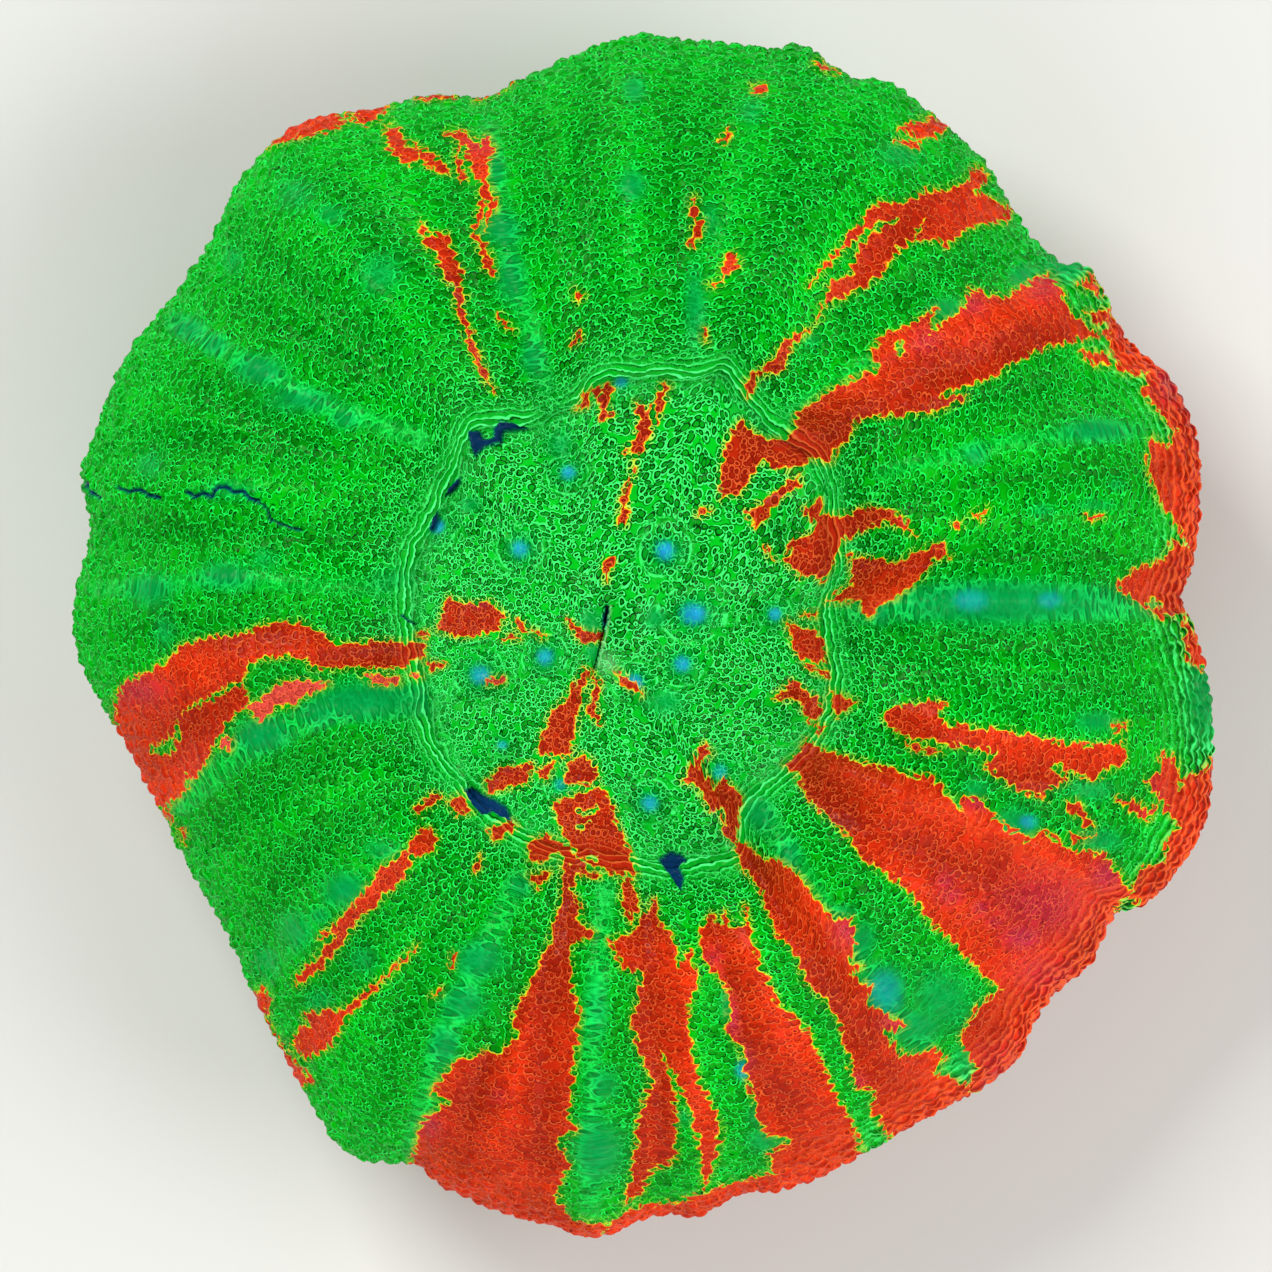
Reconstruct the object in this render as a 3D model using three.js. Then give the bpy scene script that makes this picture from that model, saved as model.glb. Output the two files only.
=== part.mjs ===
// A solitary scolymia coral, a fleshy disc on a ribbed stony foot, cut off flat where it grew on rock.
// Millimetres, +Z up. The origin is on the flat cut, under the middle of the outline.
// The body is one closed skin: meridians run from the mouth over the oral disc, up the fold,
// over the mantle, round the rolled margin and down the foot to the cut.

import * as THREE from 'three';

// Driving dimensions, in millimetres
const LENGTH = 80; // the longest way across, seen from above
const DISC_HEIGHT = 21; // oral disc beside the mouth
const LIP_HEIGHT = 25.2; // inner edge of the mantle, above the fold
const CROWN_HEIGHT = 28.2; // highest round of the mantle
const MARGIN_HEIGHT = 14; // where the coral is widest
const SKIRT_HEIGHT = 8.4; // where the flesh ends and bare skeleton starts
const SKIRT_SHARE = 0.8; // skirt radius as a share of the outline's
const FOOT_SHARE = 0.66; // foot radius at the cut, as a share of the outline's
const UNDERCUT = 0.4; // how far the fold runs in under the lip

// Relief, in millimetres
const CREST = 1.3; // ridges over the septa
const GROOVE = 0.7; // valleys beside the ridges
const PUFF = 0.5; // swollen flesh between them
const TOOTH_HEIGHT = 0.95; // blunt septal teeth under the oral disc's skin
const TOOTH_SPREAD = 1.0;
const TAIL_HEIGHT = 0.45; // the septum running outward from each tooth
const TAIL_SPREAD = 0.9;
const TAIL_LENGTH = 5;
const MOUTH_DEPTH = 2.4;
const MOUTH_SPREAD = 0.75;
const MOUTH_LIP = 0.6;
const MOUTH_LIP_REACH = 1.7;
const RIB_DEPTH = 0.9; // costae down the foot
const RIBS = 27;

// How finely the skin is faceted
const MERIDIANS = 4 * RIBS;

// The plan: places seen from straight above, in units of which PLAN_LENGTH make up LENGTH,
// counted to the right and down
const PLAN_LENGTH = 1196;
const PLAN_CENTRE = [643, 636];
const MOUTH = [603, 638];
const MOUTH_SLIT = [[608, 605], [603, 638], [598, 668]];

// The outline, clockwise from the top, with its notches between lobes
const OUTLINE = [
  [640, 38], [690, 45], [770, 52], [800, 50], [850, 80], [885, 85], [945, 130], [985, 170],
  [1020, 230], [1055, 265], [1087, 275], [1125, 345], [1165, 380], [1193, 450], [1192, 530],
  [1185, 570], [1176, 600], [1187, 625], [1205, 700], [1208, 750], [1200, 820], [1165, 880],
  [1140, 900], [1115, 907], [1085, 960], [1050, 992], [1030, 1018], [1010, 1060], [930, 1110],
  [870, 1145], [780, 1187], [740, 1190], [700, 1212], [660, 1210], [590, 1234], [560, 1225],
  [480, 1200], [440, 1180], [415, 1160], [370, 1157], [345, 1145], [300, 1075], [262, 1000],
  [230, 930], [190, 860], [165, 810], [130, 745], [100, 690], [84, 660], [78, 610], [90, 550],
  [94, 520], [85, 480], [100, 430], [130, 358], [168, 308], [213, 245], [245, 180], [300, 128],
  [380, 112], [440, 98], [485, 102], [520, 85], [560, 65], [600, 50],
];

// The lip of the mantle where it folds down to the oral disc, clockwise from the top
const FOLD = [
  [600, 385], [650, 378], [690, 380], [720, 372], [745, 405], [775, 435], [815, 465], [825, 520],
  [832, 560], [822, 600], [820, 640], [828, 680], [812, 730], [780, 770], [742, 800], [735, 848],
  [690, 858], [650, 860], [610, 850], [545, 840], [500, 812], [470, 785], [438, 740], [425, 680],
  [413, 620], [415, 570], [435, 520], [455, 480], [475, 432], [530, 425], [575, 405],
];

// Septal ridges, each from its inner end to its outer end, with its strength
const RIDGES = [
  { strength: 0.7, path: [[635, 355], [632, 180], [636, 80]] },
  { strength: 0.7, path: [[692, 350], [722, 250], [758, 100]] },
  { strength: 0.5, path: [[765, 355], [830, 245], [920, 140]] },
  { strength: 0.8, path: [[790, 415], [900, 345], [1080, 275]] },
  { strength: 0.8, path: [[880, 475], [1000, 445], [1135, 432]] },
  { strength: 0.5, path: [[900, 532], [1040, 518], [1165, 512]] },
  { strength: 1.3, path: [[860, 608], [960, 600], [1060, 603], [1140, 603]] },
  { strength: 0.6, path: [[870, 700], [1000, 735], [1150, 740]] },
  { strength: 1.0, path: [[830, 765], [950, 810], [1040, 855], [1105, 900]] },
  { strength: 1.0, path: [[760, 810], [850, 950], [930, 1060], [980, 1080]] },
  { strength: 0.6, path: [[730, 890], [780, 1020], [850, 1130]] },
  { strength: 0.6, path: [[680, 890], [695, 1010], [712, 1180]] },
  { strength: 0.9, path: [[605, 890], [592, 1040], [590, 1205]] },
  { strength: 1.0, path: [[520, 880], [478, 960], [440, 1050], [414, 1145]] },
  { strength: 0.7, path: [[410, 845], [340, 890], [270, 985]] },
  { strength: 1.1, path: [[425, 700], [340, 708], [265, 735], [185, 800]] },
  { strength: 0.8, path: [[380, 590], [240, 580], [100, 590]] },
  { strength: 0.6, path: [[400, 500], [250, 492], [110, 492]] },
  { strength: 0.9, path: [[420, 440], [320, 405], [180, 325]] },
  { strength: 0.6, path: [[470, 395], [380, 290], [255, 185]] },
  { strength: 0.9, path: [[545, 385], [510, 250], [490, 130]] },
];
const RIDGE_SPREAD = 1.5; // half-width of a crest, in millimetres
const GROOVE_PLACE = 2.1; // middle of the valley, in crest half-widths
const GROOVE_SPREAD = 1.0;
const PUFF_START = 2.2;
const PUFF_FULL = 4.5;

// Blunt teeth that lift the oral disc's skin
const TEETH = [
  [665, 550], [695, 613], [775, 612], [683, 665], [640, 688], [650, 803], [520, 548], [568, 473],
  [562, 445], [622, 395], [545, 657], [487, 675], [502, 745], [470, 520], [478, 770], [720, 775],
  [780, 520], [787, 705],
];

const TURN = 2 * Math.PI;
const SCALE = LENGTH / PLAN_LENGTH;

function placeOf([right, down]) {
  return new THREE.Vector2((right - PLAN_CENTRE[0]) * SCALE, (PLAN_CENTRE[1] - down) * SCALE);
}

const MOUTH_PLACE = placeOf(MOUTH);
const SLIT_LINE = MOUTH_SLIT.map(placeOf);
const RIDGE_LINES = RIDGES.map(({ strength, path }) => ({ strength, line: path.map(placeOf) }));
const TOOTH_LINES = TEETH.map((tooth) => {
  const tip = placeOf(tooth);
  return [tip, tip.clone().sub(MOUTH_PLACE).setLength(TAIL_LENGTH).add(tip)];
});

function smooth(from, to, value) {
  return THREE.MathUtils.smoothstep(value, from, to);
}

function bell(distance, spread) {
  return Math.exp(-((distance / spread) ** 2));
}

// The radius about the mouth of a closed line of plan places, as a smooth function of the angle
function radiusByAngle(places) {
  const knots = places.map((place) => {
    const arm = placeOf(place).sub(MOUTH_PLACE);
    return { angle: arm.angle(), radius: arm.length() };
  });
  knots.sort((one, other) => one.angle - other.angle);
  const count = knots.length;
  const knot = (index) => {
    const turns = Math.floor(index / count);
    const { angle, radius } = knots[index - turns * count];
    return { angle: angle + turns * TURN, radius };
  };
  const slope = (index) => {
    const before = knot(index - 1);
    const after = knot(index + 1);
    return (after.radius - before.radius) / (after.angle - before.angle);
  };
  return (angle) => {
    const turned = THREE.MathUtils.euclideanModulo(angle, TURN);
    const next = knots.findIndex((candidate) => candidate.angle > turned);
    const end = next < 0 ? count : next;
    const [from, to] = [knot(end - 1), knot(end)];
    const span = to.angle - from.angle;
    const t = (turned - from.angle) / span;
    const stay = (1 + 2 * t) * (1 - t) ** 2;
    return (
      from.radius * stay +
      to.radius * (1 - stay) +
      slope(end - 1) * span * t * (1 - t) ** 2 -
      slope(end) * span * t ** 2 * (1 - t)
    );
  };
}

// How far a point is from a line through these places
function distanceTo(places, point) {
  let nearest = Infinity;
  for (let i = 1; i < places.length; i += 1) {
    const along = places[i].clone().sub(places[i - 1]);
    const arm = point.clone().sub(places[i - 1]);
    const share = THREE.MathUtils.clamp(arm.dot(along) / along.lengthSq(), 0, 1);
    nearest = Math.min(nearest, arm.sub(along.multiplyScalar(share)).length());
  }
  return nearest;
}

// Ridges over the septa, the valleys beside them and the swollen flesh between
function mantleRelief(point) {
  let crest = 0;
  let nearest = Infinity;
  for (const { strength, line } of RIDGE_LINES) {
    const steps = distanceTo(line, point) / RIDGE_SPREAD;
    crest = Math.max(crest, strength * bell(steps, 1));
    nearest = Math.min(nearest, steps);
  }
  const valley = bell(nearest - GROOVE_PLACE, GROOVE_SPREAD);
  return CREST * crest - GROOVE * valley + PUFF * smooth(PUFF_START, PUFF_FULL, nearest);
}

// The mouth's slit with its raised lips, and round it the blunt teeth with the septa behind them
function discRelief(point) {
  const fromMouth = distanceTo(SLIT_LINE, point);
  let height = MOUTH_LIP * bell(fromMouth - MOUTH_LIP_REACH, MOUTH_LIP_REACH / 2);
  height -= MOUTH_DEPTH * bell(fromMouth, MOUTH_SPREAD);
  for (const line of TOOTH_LINES) {
    height += TOOTH_HEIGHT * bell(line[0].distanceTo(point), TOOTH_SPREAD);
    height += TAIL_HEIGHT * bell(distanceTo(line, point), TAIL_SPREAD);
  }
  return height;
}

// A meridian's stations from the mouth to the cut. Each has its radius, its height, how many rings
// of facets lead up to it, and how strongly the reliefs and the foot's ribs show there.
function stations(fold, outline, roundFoot) {
  const width = outline - fold;
  const skirt = roundFoot * SKIRT_SHARE;
  const foot = roundFoot * FOOT_SHARE;
  const disc = (share, rise, rings) => (
    { radius: fold * share, height: DISC_HEIGHT + rise, rings, disc: 1 }
  );
  const mantle = (share, height, rings, relief) => (
    { radius: fold + width * share, height, rings, relief }
  );
  return [
    disc(0, 0, 0),
    disc(0.28, 0.1, 4),
    disc(0.56, 0.7, 4),
    disc(0.82, 1.6, 4),
    { radius: fold - 0.6, height: DISC_HEIGHT + 2.3, rings: 2, disc: 0.4 },
    { radius: fold + UNDERCUT, height: DISC_HEIGHT + 2.6, rings: 1 },
    { radius: fold + 0.1, height: DISC_HEIGHT + 3.1, rings: 1, relief: 0.1 },
    { radius: fold + 0.5, height: LIP_HEIGHT - 0.6, rings: 1, relief: 0.3 },
    { radius: fold + 1.4, height: LIP_HEIGHT, rings: 1, relief: 0.6 },
    mantle(0.15, (LIP_HEIGHT + CROWN_HEIGHT) / 2, 2, 0.9),
    mantle(0.3, CROWN_HEIGHT, 3, 1),
    mantle(0.45, CROWN_HEIGHT - 0.8, 3, 1),
    mantle(0.62, CROWN_HEIGHT - 2.5, 3, 1),
    mantle(0.77, CROWN_HEIGHT - 5.0, 3, 0.9),
    mantle(0.88, CROWN_HEIGHT - 7.8, 2, 0.6),
    mantle(0.96, CROWN_HEIGHT - 10.8, 2, 0.25),
    mantle(1, MARGIN_HEIGHT, 2, 0),
    { radius: outline - 0.9, height: MARGIN_HEIGHT - 2.8, rings: 1 },
    { radius: (outline + skirt) / 2, height: SKIRT_HEIGHT + 0.6, rings: 2 },
    { radius: skirt, height: SKIRT_HEIGHT, rings: 1 },
    { radius: (skirt + foot * 2) / 3, height: SKIRT_HEIGHT * 0.7, rings: 1, ribs: 0.8 },
    { radius: foot + 0.3, height: SKIRT_HEIGHT * 0.3, rings: 1, ribs: 1 },
    { radius: foot, height: 0, rings: 1, ribs: 1 },
  ];
}

// The rings of the skin on one meridian: a smooth line through the stations
function meridianPoints(angle, radii) {
  const list = stations(radii.fold(angle), radii.outline(angle), radii.foot(angle));
  const line = new THREE.SplineCurve(list.map(({ radius, height }) => new THREE.Vector2(radius, height)));
  const ray = new THREE.Vector2(Math.cos(angle), Math.sin(angle));
  const rib = 0.5 + 0.5 * Math.cos(RIBS * angle);
  const points = [];
  for (let i = 1; i < list.length; i += 1) {
    for (let ring = 1; ring <= list[i].rings; ring += 1) {
      const share = ring / list[i].rings;
      const between = (name) => THREE.MathUtils.lerp(list[i - 1][name] ?? 0, list[i][name] ?? 0, share);
      const { x: radius, y: height } = line.getPoint((i - 1 + share) / (list.length - 1));
      const ribbed = radius + RIB_DEPTH * between('ribs') * rib;
      const point = ray.clone().multiplyScalar(ribbed).add(MOUTH_PLACE);
      const lift = between('disc') * discRelief(point) + between('relief') * mantleRelief(point);
      points.push(new THREE.Vector3(point.x, point.y, height + lift));
    }
  }
  return points;
}

// The foot's plan is rounder than the outline above it
function footRadius(outline) {
  let total = 0;
  for (let i = 0; i < MERIDIANS; i += 1) {
    total += outline((i * TURN) / MERIDIANS);
  }
  const mean = total / MERIDIANS;
  return (angle) => (outline(angle) + mean) / 2;
}

function coralGeometry() {
  const outline = radiusByAngle(OUTLINE);
  const radii = { outline, fold: radiusByAngle(FOLD), foot: footRadius(outline) };
  const vertices = [MOUTH_PLACE.x, MOUTH_PLACE.y, DISC_HEIGHT + discRelief(MOUTH_PLACE)];
  let rings = 0;
  for (let i = 0; i < MERIDIANS; i += 1) {
    const points = meridianPoints((i * TURN) / MERIDIANS, radii);
    rings = points.length;
    points.forEach((point) => vertices.push(point.x, point.y, point.z));
  }
  const under = vertices.length / 3;
  vertices.push(MOUTH_PLACE.x, MOUTH_PLACE.y, 0);

  const faces = [];
  for (let i = 0; i < MERIDIANS; i += 1) {
    const here = 1 + i * rings;
    const next = 1 + ((i + 1) % MERIDIANS) * rings;
    faces.push(0, here, next);
    for (let ring = 0; ring < rings - 1; ring += 1) {
      faces.push(here + ring, here + ring + 1, next + ring + 1);
      faces.push(here + ring, next + ring + 1, next + ring);
    }
    faces.push(here + rings - 1, under, next + rings - 1);
  }

  const geometry = new THREE.BufferGeometry();
  geometry.setAttribute('position', new THREE.Float32BufferAttribute(vertices, 3));
  geometry.setIndex(faces);
  geometry.computeVertexNormals();
  return geometry;
}

const flesh = new THREE.MeshStandardMaterial({ color: 0x14c832, roughness: 0.42, metalness: 0 });
const coral = new THREE.Mesh(coralGeometry(), flesh);
coral.name = 'coral';

const group = new THREE.Group();
group.add(coral);

export default group;
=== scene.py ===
# The looks of a solitary scolymia coral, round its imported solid.
# The skin is built again from the solid's own plan, with a finer mesh, and carries half-millimetre
# blisters, stretched folds, a beaded margin and a ribbed, grainy foot. Its colours come from outlines
# and spots laid over the plan as the camera sees it.
import math

import bpy
import numpy as np
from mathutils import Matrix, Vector


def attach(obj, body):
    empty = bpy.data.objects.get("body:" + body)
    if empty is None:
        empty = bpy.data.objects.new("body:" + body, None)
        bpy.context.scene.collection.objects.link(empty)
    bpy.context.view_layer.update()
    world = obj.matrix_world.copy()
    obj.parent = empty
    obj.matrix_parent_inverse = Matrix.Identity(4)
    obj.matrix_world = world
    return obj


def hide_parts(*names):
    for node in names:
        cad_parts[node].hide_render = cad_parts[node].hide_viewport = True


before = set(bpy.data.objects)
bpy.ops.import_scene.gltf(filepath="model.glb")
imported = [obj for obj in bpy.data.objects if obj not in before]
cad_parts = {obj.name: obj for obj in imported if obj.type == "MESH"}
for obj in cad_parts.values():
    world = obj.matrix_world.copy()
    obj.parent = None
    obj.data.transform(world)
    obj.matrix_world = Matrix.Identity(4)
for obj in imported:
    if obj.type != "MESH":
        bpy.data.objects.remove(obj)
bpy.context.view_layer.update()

TURN = 2 * math.pi
MM = 0.001
NODE = "coral"

# The solid's driving dimensions, in millimetres
LENGTH = 80
DISC_HEIGHT = 21
LIP_HEIGHT = 25.2
CROWN_HEIGHT = 28.2
MARGIN_HEIGHT = 14
SKIRT_HEIGHT = 8.4
SKIRT_SHARE = 0.8
FOOT_SHARE = 0.66
UNDERCUT = 0.4
CREST = 1.3
GROOVE = 0.7
PUFF = 0.5
TOOTH_HEIGHT = 0.95
TOOTH_SPREAD = 1.0
TAIL_HEIGHT = 0.45
TAIL_SPREAD = 0.9
TAIL_LENGTH = 5
MOUTH_DEPTH = 2.4
MOUTH_SPREAD = 0.75
MOUTH_LIP = 0.6
MOUTH_LIP_REACH = 1.7
RIB_DEPTH = 0.9
RIBS = 27
RIDGE_SPREAD = 1.5
GROOVE_PLACE = 2.1
GROOVE_SPREAD = 1.0
PUFF_START = 2.2
PUFF_FULL = 4.5

# Mesh fineness, in millimetres between points
SKIN_STEP = 0.126
EDGE_STEP = 0.24
CUT_STEP = 0.7
COLUMN_STEP = 32
TABLE_ANGLES = 720
SECTORS = 5

# Relief of the fine skin, in millimetres
CELL_SIZE = 0.5
RING_SMALL = 0.44
RING_LARGE = 0.7
UNEVEN = 0.11
UNEVEN_WAVES = 6
DISC_WRAP = 20
WIDENING = 0.6
MANTLE_SLOPE = 0.85
UNDER_SHARE = 0.985
STRETCHED_TURN = 88
STRETCHED_STEP = 0.6
BEAD_SIZE = 0.95
BLISTER_HEIGHT = 0.15
STRETCHED_HEIGHT = 0.16
BEAD_HEIGHT = 0.34
FOLD_LINE_STEP = 0.5
MARGIN_LINE_STEP = 0.85
LINE_HEIGHT = 0.17
MOUTH_FILL = 2.0
SLIT_DEPTH = 0.6
SLIT_SPREAD = 0.13
OPENING_DEPTH = 0.6
OPENING_SPREAD = 0.22
SWELL_HEIGHT = 0.35
CRACK_DEPTH = 0.35
FINE_RIBS = 108
FINE_RIB_DEPTH = 0.16
GRAIN_HEIGHT = 0.14

# Patterns: how uneven the cells are, and each noise's scale and detail
BLISTER_RANDOM = 0.85
STRETCHED_RANDOM = 0.9
BEAD_RANDOM = 0.7
SKIN_NOISES = {"swell": (0.35, 2.0), "patchy": (0.9, 3.0), "shade": (0.22, 3.0)}
GRAIN_NOISE = (1.6, 4.0)
UNEVEN_SEED = 5

# The plan: places as the camera sees them, counted to the right and down
PLAN_LENGTH = 1196
PLAN_CENTRE = (643, 636)
SCALE = LENGTH / PLAN_LENGTH
PATCH_REACH = 2.0

# Camera, straight above, in metres
FRAME_PIXELS = 1272
FRAME_WIDTH = LENGTH * MM * FRAME_PIXELS / PLAN_LENGTH
CAMERA_DISTANCE = 1.2
SENSOR = 36

# Studio: softboxes with their name, place, side and power, in metres and watts
SOFTBOXES = [
    ("key", (-0.3, 0.34, 0.48), 0.28, 3.2),
    ("fill", (0.48, -0.1, 0.42), 0.4, 2.5),
    ("low", (0.0, -0.52, 0.3), 0.4, 1.4),
]
FLOOR_HALF = 3.0
FLOOR_ROUGHNESS = 0.7
SKY_STRENGTH = 0.34
MOUTH = (603, 638)
MOUTH_SLIT = [(608, 605), (603, 638), (598, 668)]
MOUTH_LINE = [(607, 606), (605, 625), (600, 645), (596, 660), (594, 668)]
MOUTH_OPENING = [(607, 609), (606, 621)]
MOUTH_CLEAR = 45
LIP_SPOT = (609, 664, 8, 10, 0.5)
MOUTH_RIGHT_LIP = [(611, 606), (609, 625), (604, 645), (600, 660), (598, 668)]
OUTLINE = [
    (640, 38), (690, 45), (770, 52), (800, 50), (850, 80), (885, 85), (945, 130), (985, 170),
    (1020, 230), (1055, 265), (1087, 275), (1125, 345), (1165, 380), (1193, 450), (1192, 530),
    (1185, 570), (1176, 600), (1187, 625), (1205, 700), (1208, 750), (1200, 820), (1165, 880),
    (1140, 900), (1115, 907), (1085, 960), (1050, 992), (1030, 1018), (1010, 1060), (930, 1110),
    (870, 1145), (780, 1187), (740, 1190), (700, 1212), (660, 1210), (590, 1234), (560, 1225),
    (480, 1200), (440, 1180), (415, 1160), (370, 1157), (345, 1145), (300, 1075), (262, 1000),
    (230, 930), (190, 860), (165, 810), (130, 745), (100, 690), (84, 660), (78, 610), (90, 550),
    (94, 520), (85, 480), (100, 430), (130, 358), (168, 308), (213, 245), (245, 180), (300, 128),
    (380, 112), (440, 98), (485, 102), (520, 85), (560, 65), (600, 50),
]
FOLD = [
    (600, 385), (650, 378), (690, 380), (720, 372), (745, 405), (775, 435), (815, 465), (825, 520),
    (832, 560), (822, 600), (820, 640), (828, 680), (812, 730), (780, 770), (742, 800), (735, 848),
    (690, 858), (650, 860), (610, 850), (545, 840), (500, 812), (470, 785), (438, 740), (425, 680),
    (413, 620), (415, 570), (435, 520), (455, 480), (475, 432), (530, 425), (575, 405),
]
RIDGES = [
    (0.7, [(635, 355), (632, 180), (636, 80)]),
    (0.7, [(692, 350), (722, 250), (758, 100)]),
    (0.5, [(765, 355), (830, 245), (920, 140)]),
    (0.8, [(790, 415), (900, 345), (1080, 275)]),
    (0.8, [(880, 475), (1000, 445), (1135, 432)]),
    (0.5, [(900, 532), (1040, 518), (1165, 512)]),
    (1.3, [(860, 608), (960, 600), (1060, 603), (1140, 603)]),
    (0.6, [(870, 700), (1000, 735), (1150, 740)]),
    (1.0, [(830, 765), (950, 810), (1040, 855), (1105, 900)]),
    (1.0, [(760, 810), (850, 950), (930, 1060), (980, 1080)]),
    (0.6, [(730, 890), (780, 1020), (850, 1130)]),
    (0.6, [(680, 890), (695, 1010), (712, 1180)]),
    (0.9, [(605, 890), (592, 1040), (590, 1205)]),
    (1.0, [(520, 880), (478, 960), (440, 1050), (414, 1145)]),
    (0.7, [(410, 845), (340, 890), (270, 985)]),
    (1.1, [(425, 700), (340, 708), (265, 735), (185, 800)]),
    (0.8, [(380, 590), (240, 580), (100, 590)]),
    (0.6, [(400, 500), (250, 492), (110, 492)]),
    (0.9, [(420, 440), (320, 405), (180, 325)]),
    (0.6, [(470, 395), (380, 290), (255, 185)]),
    (0.9, [(545, 385), (510, 250), (490, 130)]),
]
TEETH = [
    (665, 550), (695, 613), (775, 612), (683, 665), (640, 688), (650, 803), (520, 548), (568, 473),
    (562, 445), (622, 395), (545, 657), (487, 675), (502, 745), (470, 520), (478, 770), (720, 775),
    (780, 520), (787, 705),
]

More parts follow.
